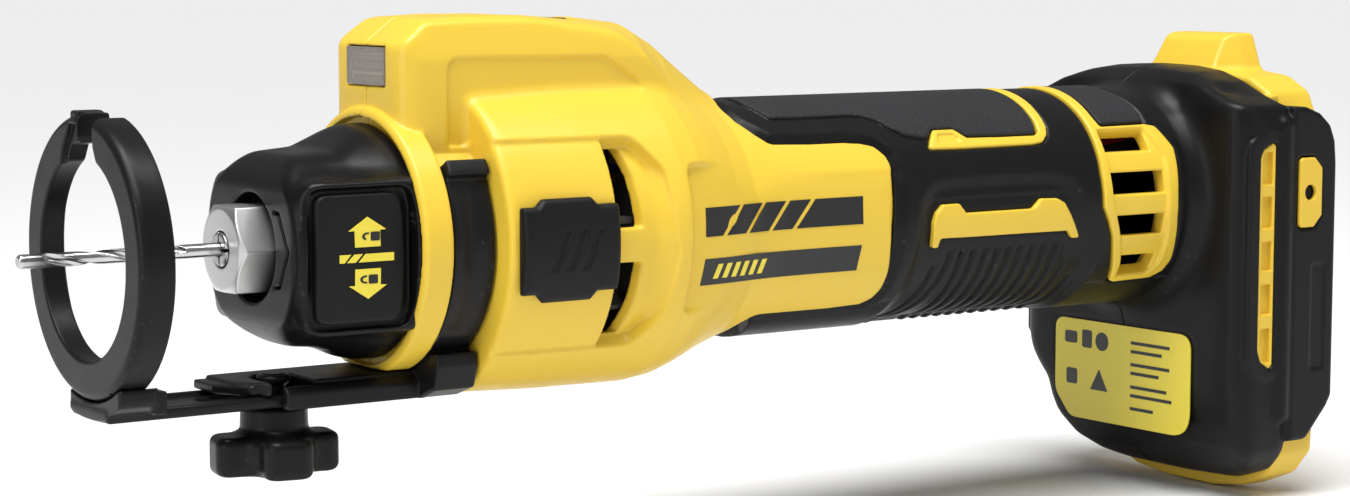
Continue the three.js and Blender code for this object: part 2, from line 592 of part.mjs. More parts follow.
let bar = join(
  block(-325.6, -254, -9.8, 9.8, -35.0, -32.3),
  block(-325.6, -316.8, -9.8, 9.8, -35.0, -30.9),
);
bar = cut(bar, prismZ(roundRect(-300, -262, -3.2, 3.2, 3.1, 4), -40, -30));
node('guide_bar', bar, BLACK_STEEL, 0.5, 1);
let footRing = turned([
  [RING_FRONT_X, RING_BORE_R + 0.6], [RING_FRONT_X, RING_R - 2.8], [RING_FRONT_X + 0.9, RING_R - 0.8],
  [RING_FRONT_X + 2.8, RING_R], [RING_REAR_X, RING_R], [RING_REAR_X, RING_BORE_R],
  [RING_FRONT_X + 0.6, RING_BORE_R],
], 36);
footRing = footRing.add(block(RING_FRONT_X, -321.3, 1.6, 6.6, 25, 32));
footRing = cut(footRing, prismX([
  [-9.4, 16], [-8.5, 20.1], [-6.5, 24.1], [-6.2, 36], [1.5, 36], [1.2, 25.9], [1.8, 24.5],
  [7.2, 23.9], [9.5, 20.3], [10.4, 16]], -330, -310));
footRing = footRing.subtract(block(-330, -310, -40, 40, -36, -31.2 + 0.6));
node('guide_ring', footRing, BLACK, 0.6);

node('clamp_bolt', join(
  turned([[-29.0, 0], [-29.0, 5.6], [-27.6, 5.4], [-26.7, 3.6], [-26.5, 0]], 16, 'z', [BOLT_X, 0, 0]),
  turned([[-47, 0], [-47, 2.7], [-28.5, 2.7], [-28.5, 0]], 12, 'z', [BOLT_X, 0, 0])), 0x2a2a2c, 0.4, 1);
const lobes = [];
for (let i = 0; i < 32; i++) {
  const a = (2 * Math.PI * i) / 32;
  const r = 12.4 + 2.6 * Math.cos(4 * a);
  lobes.push([BOLT_X + r * Math.cos(a), r * Math.sin(a)]);
}
node('clamp_knob', cut(
  join(prismZ(lobes, KNOB_BOTTOM_Z, KNOB_BODY_Z),
    turned([[KNOB_BODY_Z - 1, 0], [KNOB_BODY_Z - 1, 8.6], [KNOB_BODY_Z + 1.5, 7.5],
      [KNOB_TOP_Z, 7.5], [KNOB_TOP_Z, 0]], 20, 'z', [BOLT_X, 0, 0])),
  turned([[-48, 0], [-48, 3.1], [-30, 3.1], [-30, 0]], 12, 'z', [BOLT_X, 0, 0])), BLACK, 0.5);

export default root;
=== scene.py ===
import json, math
import bpy, bmesh
import numpy as np
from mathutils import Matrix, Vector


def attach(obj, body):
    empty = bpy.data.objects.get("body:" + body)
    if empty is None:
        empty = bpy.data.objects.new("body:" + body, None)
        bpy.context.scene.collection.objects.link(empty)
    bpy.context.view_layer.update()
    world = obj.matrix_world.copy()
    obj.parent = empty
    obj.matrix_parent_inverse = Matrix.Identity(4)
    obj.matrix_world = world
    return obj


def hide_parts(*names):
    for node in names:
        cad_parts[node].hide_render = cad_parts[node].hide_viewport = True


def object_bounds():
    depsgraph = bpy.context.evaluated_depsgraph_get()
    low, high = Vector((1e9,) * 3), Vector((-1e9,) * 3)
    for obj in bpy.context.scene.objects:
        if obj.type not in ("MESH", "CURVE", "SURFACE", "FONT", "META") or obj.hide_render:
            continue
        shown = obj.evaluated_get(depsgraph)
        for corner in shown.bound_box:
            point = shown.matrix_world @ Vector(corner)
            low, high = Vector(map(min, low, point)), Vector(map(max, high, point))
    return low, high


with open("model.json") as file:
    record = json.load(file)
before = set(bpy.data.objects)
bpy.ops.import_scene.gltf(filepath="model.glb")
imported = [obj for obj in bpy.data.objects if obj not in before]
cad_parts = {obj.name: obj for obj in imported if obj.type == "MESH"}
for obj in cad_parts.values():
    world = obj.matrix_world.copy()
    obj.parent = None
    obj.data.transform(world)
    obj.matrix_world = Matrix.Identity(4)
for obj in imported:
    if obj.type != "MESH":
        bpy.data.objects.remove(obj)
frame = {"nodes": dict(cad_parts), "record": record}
import openvdb as vdb
from mathutils import Vector, Matrix


def lists(b):
    return [[float(v) for v in c] for c in b]


cad_box = lists(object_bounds())
VOX = 1.0
F = np.float32

# ------------------------------------------------------------------ materials


class Nodes:
    def __init__(s, name):
        s.m = bpy.data.materials.new(name)
        s.m.use_nodes = True
        s.t = s.m.node_tree
        s.b = s.t.nodes["Principled BSDF"]
        s.co = s.t.nodes.new("ShaderNodeTexCoord")

    def n(s, kind, **inputs):
        x = s.t.nodes.new(kind)
        for k, v in inputs.items():
            x.inputs[k.replace("_", " ")].default_value = v
        return x

    def link(s, a, b):
        s.t.links.new(a, b)


def surface(name, colour, rough=0.4, metal=0.0, grain_mm=0.35, bump_mm=0.012, shade=0.08, spec=0.5,
            rough_var=0.06, patch_mm=22.0, edge=None, scratch=0.0, voronoi=False, brushed=None, coat=0.0):
    """Moulded or machined surface: fine grain as bump, slow colour drift, roughness drift, worn edges."""
    s = Nodes(name)
    b = s.b
    b.inputs["Metallic"].default_value = metal
    b.inputs["Specular IOR Level"].default_value = spec
    b.inputs["Coat Weight"].default_value = coat
    obj = s.co.outputs["Object"]
    drift = s.n("ShaderNodeTexNoise", Scale=1000.0 / patch_mm, Detail=3.0, Roughness=0.55)
    s.link(obj, drift.inputs["Vector"])
    mix = s.t.nodes.new("ShaderNodeMix"); mix.data_type = "RGBA"
    dark = [c * (1 - shade) for c in colour] + [1]
    light = [min(1.0, c * (1 + shade)) for c in colour] + [1]
    mix.inputs[6].default_value = dark; mix.inputs[7].default_value = light
    s.link(drift.outputs["Fac"], mix.inputs[0])
    base = mix.outputs[2]
    if edge:
        geo = s.t.nodes.new("ShaderNodeNewGeometry")
        ramp = s.t.nodes.new("ShaderNodeValToRGB")
        ramp.color_ramp.elements[0].position = 0.52; ramp.color_ramp.elements[1].position = 0.64
        s.link(geo.outputs["Pointiness"], ramp.inputs["Fac"])
        worn = s.t.nodes.new("ShaderNodeMix"); worn.data_type = "RGBA"
        worn.inputs[7].default_value = list(edge) + [1]
        s.link(base, worn.inputs[6]); s.link(ramp.outputs["Color"], worn.inputs[0])
        base = worn.outputs[2]
    s.link(base, b.inputs["Base Color"])
    rr = s.n("ShaderNodeMapRange", To_Min=rough - rough_var, To_Max=rough + rough_var)
    fine = s.n("ShaderNodeTexNoise", Scale=1000.0 / (patch_mm * 0.25), Detail=4.0)
    s.link(obj, fine.inputs["Vector"]); s.link(fine.outputs["Fac"], rr.inputs["Value"])
    s.link(rr.outputs["Result"], b.inputs["Roughness"])
    if voronoi:
        g = s.n("ShaderNodeTexVoronoi", Scale=1000.0 / grain_mm); out = g.outputs["Distance"]
        s.link(obj, g.inputs["Vector"])
    else:
        g = s.n("ShaderNodeTexNoise", Scale=1000.0 / grain_mm, Detail=2.0, Roughness=0.6); out = g.outputs["Fac"]
        if brushed:
            mp = s.t.nodes.new("ShaderNodeMapping"); mp.inputs["Scale"].default_value = brushed
            s.link(obj, mp.inputs["Vector"]); s.link(mp.outputs["Vector"], g.inputs["Vector"])
        else:
            s.link(obj, g.inputs["Vector"])
    bump = s.n("ShaderNodeBump", Strength=1.0, Distance=bump_mm * 0.001)
    s.link(out, bump.inputs["Height"]); s.link(bump.outputs["Normal"], b.inputs["Normal"])
    return s.m


YELLOW_C = (0.755, 0.515, 0.045)
M = {
    "yellow_plastic": surface("yellow_plastic", YELLOW_C, 0.36, grain_mm=0.5, bump_mm=0.006, shade=0.03, spec=0.42),
    "core_yellow": surface("core_yellow", (0.745, 0.50, 0.042), 0.40, grain_mm=0.5, bump_mm=0.006, shade=0.04, spec=0.42),
    "black_plastic": surface("black_plastic", (0.004, 0.004, 0.0045), 0.33, grain_mm=0.42, bump_mm=0.012, shade=0.15, spec=0.19, edge=(0.02, 0.02, 0.021)),
    "rubber_grip": surface("rubber_grip", (0.005, 0.005, 0.0055), 0.40, grain_mm=0.5, bump_mm=0.022, shade=0.15, spec=0.19, edge=(0.022, 0.022, 0.023)),
    "grip_pad": surface("grip_pad", (0.022, 0.022, 0.024), 0.6, grain_mm=0.9, bump_mm=0.16, shade=0.2, spec=0.2, voronoi=True),
    "sleeve_pad": surface("sleeve_pad", (0.007, 0.007, 0.0075), 0.46, grain_mm=0.6, bump_mm=0.04, shade=0.12, spec=0.19, voronoi=True),
    "guide_plastic": surface("guide_plastic", (0.006, 0.006, 0.0065), 0.36, grain_mm=0.8, bump_mm=0.03, shade=0.2, spec=0.19, edge=(0.022, 0.022, 0.023)),
    "black_steel": surface("black_steel", (0.008, 0.008, 0.009), 0.34, metal=0.0, grain_mm=0.7, bump_mm=0.03, shade=0.2, spec=0.19, edge=(0.03, 0.03, 0.032)),
    "dark_nylon": surface("dark_nylon", (0.025, 0.025, 0.027), 0.55, grain_mm=0.5, bump_mm=0.02),
    "button_rubber": surface("button_rubber", (0.009, 0.009, 0.0095), 0.6, grain_mm=0.6, bump_mm=0.05),
    "label_yellow": surface("label_yellow", (0.80, 0.66, 0.05), 0.30, grain_mm=1.5, bump_mm=0.002, shade=0.02),
    "label_black": surface("label_black", (0.004, 0.004, 0.0045), 0.33, grain_mm=1.2, bump_mm=0.003, shade=0.1),
    "nut_steel": surface("nut_steel", (0.66, 0.66, 0.66), 0.38, metal=1.0, grain_mm=0.28, bump_mm=0.014, shade=0.06),
    "bit_steel": surface("bit_steel", (0.55, 0.55, 0.56), 0.2, metal=1.0, grain_mm=0.3, bump_mm=0.004, shade=0.05, brushed=(0.15, 1, 1)),
    "collet_steel": surface("collet_steel", (0.45, 0.45, 0.46), 0.28, metal=1.0, grain_mm=0.3, bump_mm=0.008),
    "screw_steel": surface("screw_steel", (0.10, 0.10, 0.11), 0.35, metal=1.0, grain_mm=0.3, bump_mm=0.01),
    "bearing_steel": surface("bearing_steel", (0.55, 0.56, 0.58), 0.25, metal=1.0, grain_mm=0.4, bump_mm=0.005),
    "lamination_steel": surface("lamination_steel", (0.30, 0.31, 0.33), 0.5, metal=1.0, grain_mm=0.5, bump_mm=0.06, brushed=(1, 0.05, 0.05)),
    "copper_wire": surface("copper_wire", (0.62, 0.22, 0.07), 0.35, metal=1.0, grain_mm=0.9, bump_mm=0.2, voronoi=True),
    "contact_brass": surface("contact_brass", (0.72, 0.50, 0.20), 0.25, metal=1.0, grain_mm=0.4, bump_mm=0.006),
    "cast_aluminium": surface("cast_aluminium", (0.50, 0.51, 0.53), 0.45, metal=1.0, grain_mm=0.7, bump_mm=0.04),
    "board_green": surface("board_green", (0.015, 0.13, 0.04), 0.35, grain_mm=1.4, bump_mm=0.02, shade=0.2),
    "lead_red": surface("lead_red", (0.45, 0.02, 0.02), 0.4), "lead_black": surface("lead_black", (0.015, 0.015, 0.015), 0.4),
    "lead_blue": surface("lead_blue", (0.03, 0.08, 0.4), 0.4), "lead_white": surface("lead_white", (0.7, 0.7, 0.7), 0.4),
}
lens = surface("lamp_lens", (0.62, 0.56, 0.50), 0.10, grain_mm=2.2, bump_mm=0.01, shade=0.15)
lens.node_tree.nodes["Principled BSDF"].inputs["Transmission Weight"].default_value = 0.75
lens.node_tree.nodes["Principled BSDF"].inputs["IOR"].default_value = 1.49
M["lamp_lens"] = lens

# ------------------------------------------------------------ field modelling


class Grid:
    def __init__(s, lo, hi, h):
        s.h = h * VOX
        s.lo = np.array(lo, float)
        n = [int(math.ceil((b - a) / s.h)) + 1 for a, b in zip(lo, hi)]
        ax = [(lo[i] + s.h * np.arange(n[i])).astype(F) for i in range(3)]
        s.ax = ax
        s.x, s.y, s.z = ax[0][:, None, None], ax[1][None, :, None], ax[2][None, None, :]
        s.ay = np.abs(s.y)
        s.rho = np.sqrt(s.y ** 2 + s.z ** 2)
        s.th = np.degrees(np.arctan2(s.z, s.ay + 1e-6))

    def wrap(s, table):
        """A table over x and the angle above the horizontal (TH), read at each grid point."""
        f = np.clip((s.th[0] - TH[0]) / (TH[1] - TH[0]), 0, len(TH) - 1.001)
        i = f.astype(np.int32); t = (f - i).astype(F)
        return table[:, i] * (1 - t) + table[:, i + 1] * t


TH = np.arange(-91, 91.6, 0.5).astype(F)


def poly(u, v, pts):
    u, v = np.broadcast_arrays(u, v)
    d = np.full(u.shape, 1e9, F); s = np.ones(u.shape, F)
    for i in range(len(pts)):
        ax, ay = pts[i]; bx, by = pts[i - 1]
        ex, ey = bx - ax, by - ay
        wx, wy = u - ax, v - ay
        t = np.clip((wx * ex + wy * ey) / (ex * ex + ey * ey + 1e-12), 0, 1)
        d = np.minimum(d, (wx - ex * t) ** 2 + (wy - ey * t) ** 2)
        c1, c2, c3 = v >= ay, v < by, ex * wy > ey * wx
        s = np.where((c1 & c2 & c3) | (~c1 & ~c2 & ~c3), -s, s)
    return (s * np.sqrt(d)).astype(F)


def fillet(pts, r, seg=5):
    out = []
    n = len(pts)
    for i in range(n):
        p = np.array(pts[i], float); a = np.array(pts[i - 1], float) - p; b = np.array(pts[(i + 1) % n], float) - p
        la, lb = np.linalg.norm(a), np.linalg.norm(b)
        a /= la; b /= lb
        rr = r[i] if isinstance(r, (list, tuple)) else r
        c = float(np.clip(a @ b, -1, 1)); half = math.acos(c) / 2
        if rr <= 0 or half > 1.5: out.append(tuple(p)); continue
        t = min(rr / math.tan(half), 0.49 * la, 0.49 * lb)
        for k in range(seg + 1):
            w = k / seg
            out.append(tuple((p + a * t) * (1 - w) ** 2 + p * 2 * w * (1 - w) + (p + b * t) * w * w))
    return out


def rect(x0, x1, y0, y1):
    return [(x0, y0), (x1, y0), (x1, y1), (x0, y1)]


def smin(a, b, k):
    h = np.clip(0.5 + 0.5 * (b - a) / k, 0, 1)
    return b + (a - b) * h - k * h * (1 - h)


def smax(a, b, k):
    return -smin(-a, -b, k)


def step(t):
    t = np.clip(t, 0, 1)
    return t * t * (3 - 2 * t)


def inside(d, w=0.5):
    """1 inside an outline, 0 outside, soft over w either side."""
    return step(0.5 - d / (2 * w))


def curve(x, pts, soft=0.0):
    xs, ys = zip(*pts)
    if soft <= 0: return np.interp(x, xs, ys).astype(F)
    fine = np.arange(xs[0] - 4 * soft, xs[-1] + 4 * soft, 0.1)
    v = np.interp(fine, xs, ys)
    k = np.exp(-0.5 * (np.arange(-int(30 * soft), int(30 * soft) + 1) * 0.1 / soft) ** 2); k /= k.sum()
    v = np.convolve(np.pad(v, len(k) // 2, mode="edge"), k, mode="valid")
    return np.interp(x, fine, v).astype(F)


def rbox(g, x0, x1, y0, y1, z0, z1, r=0.0):
    d = [np.abs(c - (a + b) / 2) - ((b - a) / 2 - r) for c, a, b in ((g.x, x0, x1), (g.y, y0, y1), (g.z, z0, z1))]
    q = np.sqrt(np.maximum(d[0], 0) ** 2 + np.maximum(d[1], 0) ** 2 + np.maximum(d[2], 0) ** 2)
    return q + np.minimum(np.maximum(np.maximum(d[0], d[1]), d[2]), 0) - r


def lathe(g, pts, soft=0.0, k=0.6, axis="x", at=(0, 0, 0)):
    """Solid of revolution: radius over the axis, ends rounded by k."""
    if axis == "x": a = g.x - at[0]; rho = np.sqrt((g.y - at[1]) ** 2 + (g.z - at[2]) ** 2)
    else: a = g.z - at[2]; rho = np.sqrt((g.x - at[0]) ** 2 + (g.y - at[1]) ** 2)
    r = curve(a, pts, soft)
    s = np.abs(curve(a + 0.2, pts, soft) - curve(a - 0.2, pts, soft)) / 0.4
    d = (rho - r) / np.sqrt(1 + np.minimum(s, 3) ** 2)
    return smax(d, np.maximum(pts[0][0] - a, a - pts[-1][0]), k)


def shade_mesh(name, v, quads, body, mat, replaces=()):
    me = bpy.data.meshes.new(name)
    v = np.asarray(v, float) * 0.001
    if isinstance(quads, np.ndarray):
        n, k = quads.shape
        me.vertices.add(len(v)); me.vertices.foreach_set("co", v.astype(F).ravel())
        me.loops.add(n * k); me.loops.foreach_set("vertex_index", quads.astype(np.int32).ravel())
        me.polygons.add(n); me.polygons.foreach_set("loop_start", np.arange(0, n * k, k, dtype=np.int32))
        me.polygons.foreach_set("use_smooth", np.ones(n, bool))
        me.update(calc_edges=True); me.validate()
    else:
        me.from_pydata([tuple(p) for p in v], [], quads); me.update()
    o = bpy.data.objects.new(name, me)
    bpy.context.scene.collection.objects.link(o)
    me.materials.append(M[mat])
    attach(o, body)
    if replaces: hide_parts(*replaces)
    return o


def skin(name, f, g, body, mat, replaces=(), mirror=False):
    b = 3 * g.h
    f = np.clip(np.broadcast_to(f, (len(g.ax[0]), len(g.ax[1]), len(g.ax[2]))), -b, b).astype(F).copy()
    for a in range(3):
        sl = [slice(None)] * 3
        for e in (0, -1):
            sl[a] = e; f[tuple(sl)] = np.maximum(f[tuple(sl)], 0.3 * g.h)
    grid = vdb.FloatGrid(background=float(b)); grid.copyFromArray(f, tolerance=0.0)
    p, q = grid.convertToQuads(isovalue=0.0)
    p = p * g.h + g.lo; q = q.astype(np.int64)
    if mirror: p[:, 1] *= -1
    a, b_, c, d = (p[q[:, i]] for i in range(4))
    vol = np.einsum("ij,ij->i", a, np.cross(b_, c)).sum() + np.einsum("ij,ij->i", a, np.cross(c, d)).sum()
    if vol < 0: q = q[:, ::-1]
    return shade_mesh(name, p, q, body, mat, replaces)


def plate(name, outline, place, depth, body, mat, bevel=0.0, replaces=(), holes=()):
    """Flat outline (2-D, mm) pushed by depth; place maps (u, v, w) to (x, y, z)."""
    bm = bmesh.new()
    vs = [bm.verts.new(place(u, v, 0)) for u, v in outline]
    f = bm.faces.new(vs)
    ext = bmesh.ops.extrude_face_region(bm, geom=[f])
    top = [e for e in ext["geom"] if isinstance(e, bmesh.types.BMVert)]
    w = Vector(place(0, 0, depth)) - Vector(place(0, 0, 0))
    for t in top: t.co += w
    bmesh.ops.recalc_face_normals(bm, faces=bm.faces)
    if bevel: bmesh.ops.bevel(bm, geom=list(bm.edges), offset=bevel, segments=2, affect="EDGES", profile=0.5)
    me = bpy.data.meshes.new(name); bm.to_mesh(me); bm.free()
    me.transform(Matrix.Scale(0.001, 4))
    o = bpy.data.objects.new(name, me); bpy.context.scene.collection.objects.link(o)
    me.materials.append(M[mat]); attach(o, body)
    if replaces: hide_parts(*replaces)
    return o


# ------------------------------------------------- carried-over nodes' finish
NODE_MAT = {}
for mrec in frame["record"].get("materials", []):
    for nn in mrec.get("nodes", mrec.get("node_names", [])) or []:
        NODE_MAT[nn] = mrec.get("slot")
for nn, o in frame["nodes"].items():
    old = o.data.materials[0].name.split(".")[0] if o.data.materials and o.data.materials[0] else ""
    key = NODE_MAT.get(nn) or (old if old in M else "black_plastic")
    o.data.materials.clear(); o.data.materials.append(M.get(key, M["black_plastic"]))

# -------------------------------------------------------------------- housing
BARREL = [(-240.4, 35.4), (-239.6, 36.1), (-238.4, 36.4), (-218, 37.2), (-194, 37.5), (-188, 36.7), (-182.7, 35.0), (-175.3, 31.9), (-168.8, 29.75), (-160.3, 29.35), (-120, 29.3)]
TONGUE = [(-176, 91.6), (-164.4, 91.6), (-164.6, 87), (-166.2, 70), (-165.6, 57), (-162.6, 48), (-159.6, 42), (-148.3, 41), (-137.4, 41), (-132.5, 40), (-128.8, 38), (-126.2, 32), (-125.3, 24), (-125.6, 10), (-126.2, -5), (-126.1, -24), (-126.2, -37), (-127.6, -44), (-130.5, -48), (-140, -49), (-152.2, -49), (-162.4, -49), (-165.7, -57), (-168.3, -68), (-169.5, -91.6), (-176, -91.6)]
K = 0.5114  # mm per degree on the handle


def on_handle(x, pts, r=0.0):
    p = [(a, b * K) for a, b in pts]
    return poly(x[:, None], (TH * K)[None, :], fillet(p, r) if r else p)


PAN = [(-194, 33.6), (-187, 33.2), (-178, 31.8), (-168, 29.4), (-160, 28.2), (-150, 27.7), (-120, 27.6)]


def housing(side):
    h = 0.42
    g = Grid((-260.6, -39.4, -39.4), (-23.6, 1.0, 53.0), h)
    x1 = g.ax[0]
    # barrel relief as a table over x and angle
    R = np.repeat(curve(x1, BARREL)[:, None], len(TH), 1)
    zt = R * np.sin(np.radians(TH))[None, :]
    X = np.repeat(x1[:, None], len(TH), 1)
    band = poly(X, zt, fillet([(-260, -25.2), (-204, -25.2), (-198.5, -19), (-196.3, -4), (-198.5, 16), (-204.5, 23.4), (-260, 23.4)], [0, 5, 8, 10, 8, 5, 0]))
    dep = 0.85 * inside(band, 0.3)
    dep += 2.5 * inside(np.maximum(band + 0.2, -212.8 - X), 0.25) * step((-196.8 - X) / 5.0)
    R = (R - dep).astype(F)
    fb = (g.rho - g.wrap(R))
    fb = smax(fb, -240.4 - g.x, 0.8)
    fb = np.maximum(fb, g.x + 126)
    # tongue end
    tg = g.wrap(on_handle(x1, TONGUE, 3.0))
    # collar, groove floor, core of the handle
    col = lathe(g, [(-259.4, 29.6), (-258.6, 30.4), (-252.2, 30.5)], 0, 0.7)
    floor_ = np.maximum(g.rho - 26.5, np.maximum(-256 - g.x, g.x + 236))
    core = np.maximum(g.rho - 26.4, np.maximum(-172 - g.x, g.x + 24.5))
    # head
    side_xz = fillet([(-257.9, 8), (-257.9, 44.6), (-249.8, 50.8), (-238, 51.6), (-221.9, 51.4), (-205.3, 50.3), (-191.2, 48.7), (-182.6, 44.3), (-167.9, 33.1), (-158.5, 28.0), (-158.5, 8)], [0, 3.5, 4, 3, 3, 3, 4, 4, 4, 0, 0])
    crown = curve(x1, [(-225, 0.003), (-213, 0.009), (-198, 0.013), (-191, 0.03), (-183, 0.05), (-176, 0.055), (-168, 0.05), (-160, 0.045)], 2.0)[:, None]
    A = np.stack([poly(x1[:, None], g.ax[2][None, :] + crown * float(min(abs(yy), 20)) ** 2, side_xz) for yy in g.ax[1]], 1)
    B = poly(g.ay, g.z, fillet([(-30, 0), (-30, 51.6), (12.6, 51.6), (14.9, 49.6), (16.9, 41.0), (17.2, 22), (17.2, 0)], [0, 0, 3, 3, 4, 0, 0]))
    C = poly(g.x, g.ay, fillet([(-257.9, -30), (-257.9, 17.4), (-150, 17.4), (-150, -30)], [0, 8.0, 0, 0], 8))
    head = smax(smax(A, B, 1.6), C, 1.2)
    pan = poly(g.x, g.z, fillet([(-245.5, 22), (-245.5, 41.2), (-203, 40.9), (-188.5, 31.0), (-183.0, 26), (-190, 20)], [0, 3.0, 4, 4, 2, 0]))
    head = smax(head, -np.maximum(pan, 16.15 - g.ay), 1.0)
    f = smin(fb, head, 2.4)
    f = smin(f, col, 0.6)
    f = np.where(g.x > -170, smax(f, tg, 0.8), f)
    f = np.minimum(f, np.minimum(floor_, core))
    # logo panel: shallow pocket with a nearly flat, tilted floor
    pk = poly(g.x, g.z, fillet([(-192.6, -18.4), (-176, -17.2), (-160, -15.2), (-120, -15), (-120, 12.4), (-146, 12.2), (-159, 13.4), (-176, 16.2), (-192.2, 16.6)], [3, 6, 5, 0, 0, 6, 6, 6, 3]))
    flr = curve(x1, PAN, 1.5)[:, None, None] - g.z ** 2 / 150.0
    f = smax(f, -smax(pk, flr - g.ay, 1.6), 0.8)
    # openings and cavity
    bore = np.minimum(np.maximum(g.rho - 14.4, g.x + 248.9), np.maximum(g.rho - 20.2, np.maximum(-249 - g.x, g.x + 237.9)))
    rin = curve(x1, [(-238, 33.0), (-214.5, 33.0), (-213.2, 31.4), (-204.2, 31.4), (-203.6, 30.2), (-187, 30.0), (-178, 28.6), (-169, 26.4), (-163, 24.6), (-156, 24), (-20, 24)])[:, None, None]
    cav = np.maximum(g.rho - rin, np.maximum(-238 - g.x, g.x + 18))
    hin = smax(np.maximum(poly(g.x, g.z, [(-255.0, 20), (-255.0, 44.8), (-249, 48.2), (-206, 47.6), (-192.5, 46), (-184.4, 42), (-172, 32.5), (-166, 26), (-166, 20)]), A + 2.0), g.ay - 11.6, 0.5)
    cav = np.minimum(np.minimum(cav, bore), hin)
    f = np.maximum(f, -cav)
    f = np.maximum(f, -np.maximum(g.rho - 28.3, g.x + 257.2))
    f = smax(f, -rbox(g, -262, -253, -8.9, 8.9, 35.1, 44.2, 0.6), 0.5)
    f = smax(f, -rbox(g, -226.4, -205.6, -7.9, 7.9, 44, 60, 3), 0.8)
    badge = poly(g.x, g.z, fillet([(-238.9, 9.2), (-238.9, -10.9), (-235.0, -10.9), (-233.2, -12.9), (-220.2, -12.9), (-218.6, -10.9), (-212.4, -10.9), (-212.4, 9.2), (-218.6, 9.2), (-220.2, 10.9), (-233.2, 10.9), (-235.0, 9.2)], 0.8))
    f = smax(f, -np.maximum(badge - 0.9, 35.4 - g.ay), 0.5)
    # side air slots, each side of a rib
    zz = g.z
    xl, xr = -212.4, curve(zz, [(-26, -206.8), (-15, -204.6), (0, -203.8), (14, -204.8), (24, -207.5)])
    xr = xr - 0.55 * np.clip(34.4 - g.rho, 0, 3.4)
    slot = smax(np.maximum(xl - g.x, g.x - xr), np.maximum(np.abs(zz + 0.85) - 21.2, 4.0 - np.abs(zz + 1.2)), 0.8)
    f = smax(f, -np.maximum(slot, 22 - g.ay), 0.6)
    # rear vents through the core
    f = np.maximum(f, -np.maximum(rbox(g, -55.5, -34.4, -60, 60, -20.5, 19.6, 1.0), 12 - g.ay))
    f = np.maximum(f, -np.maximum(np.maximum(g.ay - 14, g.z + 28.8), g.x + 250.5))
    if side > 0:
        for sx, sz, sy in ((-187.5, 22.5, 26.0), (-187.5, -22.5, 26.0), (-148, 13.5, 23.2), (-148, -13.5, 23.2)):
            r = np.sqrt((g.x - sx) ** 2 + (g.z - sz) ** 2)
            f = smax(f, -np.maximum(r - 3.7, sy - 0.3 - g.ay), 0.6)
            f = np.minimum(f, np.maximum(r - 5.2, np.maximum(g.ay - sy + 0.2, sy - 4 - g.ay)))
    f = smax(f, g.y + 0.06, 0.5)
    return f, g


f, g = housing(-1)
skin("housing_left_shell", f, g, "housing", "yellow_plastic", ("housing_left",))
f, g = housing(1)
skin("housing_right_shell", f, g, "housing", "yellow_plastic", ("housing_right",), mirror=True)

# ------------------------------------------- black overmould: handle and foot
PAD1 = [(-158.0, 91.6), (-158.2, 75), (-156.9, 66), (-155.4, 58), (-145.9, 57.5), (-132.3, 58), (-127.6, 57), (-123.9, 53), (-121, 46.5), (-117.9, 42.5), (-112.8, 40), (-110.5, 40.5), (-108.3, 45), (-101.7, 45), (-98.8, 40), (-87.7, 39.3), (-76.1, 39.3), (-74.4, 42), (-73.5, 50), (-73.1, 60), (-73.0, 91.6)]
TRIM1 = [(-112.4, 34.2), (-109.6, 42), (-108.3, 45.4), (-101.7, 45.4), (-98.8, 39.8), (-87.7, 39.3), (-76.1, 39.3), (-74.2, 41.5), (-73.4, 48), (-73.1, 60), (-72.9, 91.6), (-69.5, 91.6), (-69.8, 61), (-70.3, 50), (-70.7, 44), (-72, 39), (-74.3, 35.2), (-78, 34.2), (-103, 33.9)]
VENT = [(-57.0, 91.6), (-56.6, 67), (-56.6, 49), (-57, 32), (-57.5, 15), (-57.4, -1), (-55.4, -8), (-53.2, -17), (-51.6, -26), (-49.2, -37), (-48.0, -44), (-46.2, -45.5), (-33.5, -44.5), (-30.3, -40), (-29.2, -32), (-30.3, -20), (-31.2, -8), (-31.3, 4), (-30.6, 17), (-30.1, 28), (-33.4, 41.5), (-36.5, 43), (-52.6, 42.5), (-53.2, 49), (-53.2, 66), (-53.4, 91.6)]
PAD2 = [(-52.6, 91.6), (-52.7, 66), (-52.7, 49), (-52.2, 43.4), (-36.0, 43.8), (-35.2, 52), (-35.6, 62), (-36.6, 74), (-37.4, 91.6)]
RECESS = [(-121.5, -60), (-120.8, -16), (-119.8, 7), (-117.5, 14), (-113.9, 19), (-109.3, 21), (-93, 21.5), (-75, 21), (-70, 19), (-65.9, 15), (-63.4, 9), (-60, -3), (-56, -14), (-55, -26), (-56, -45), (-57, -91.5), (-121.5, -91.5)]
BADGE = [(-113.8, -16), (-114.1, -3), (-113.2, 2), (-111, 6), (-105.8, 6), (-103.6, 1), (-81.4, 1), (-78.4, 6), (-73.2, 5.6), (-70.6, 3), (-68.2, -4), (-64.5, -16), (-67.1, -16), (-68.9, -11.7), (-111.5, -11.2), (-111.9, -16)]
FRONT = [(-44.2, -60), (-44.2, 20), (-41.5, 25), (-34.4, 27.4), (-26.3, 31.0), (-18.5, 33.6), (-9, 34.8), (6, 35.2), (14, 34.8), (20, 33.6), (28.5, 31.2), (35.7, 27.6), (41.5, 25), (44.2, 20), (44.2, -42), (32.5, -55), (31.0, -64), (26.6, -71.0), (19.8, -75.4), (10, -77.2), (-10, -77.7), (-28, -76.6), (-38.5, -73.0), (-43.4, -67)]
BODY_SIDE = [(-22.7, 18), (-22.7, -48), (-22.1, -54), (-20.9, -60), (-18.8, -66), (-15.4, -71.5), (-10.6, -76), (-5, -79), (-2.0, -79), (-2.0, 36.6), (-12, 36.2), (-17.2, 34.6), (-20.8, 30.8), (-22.4, 25)]
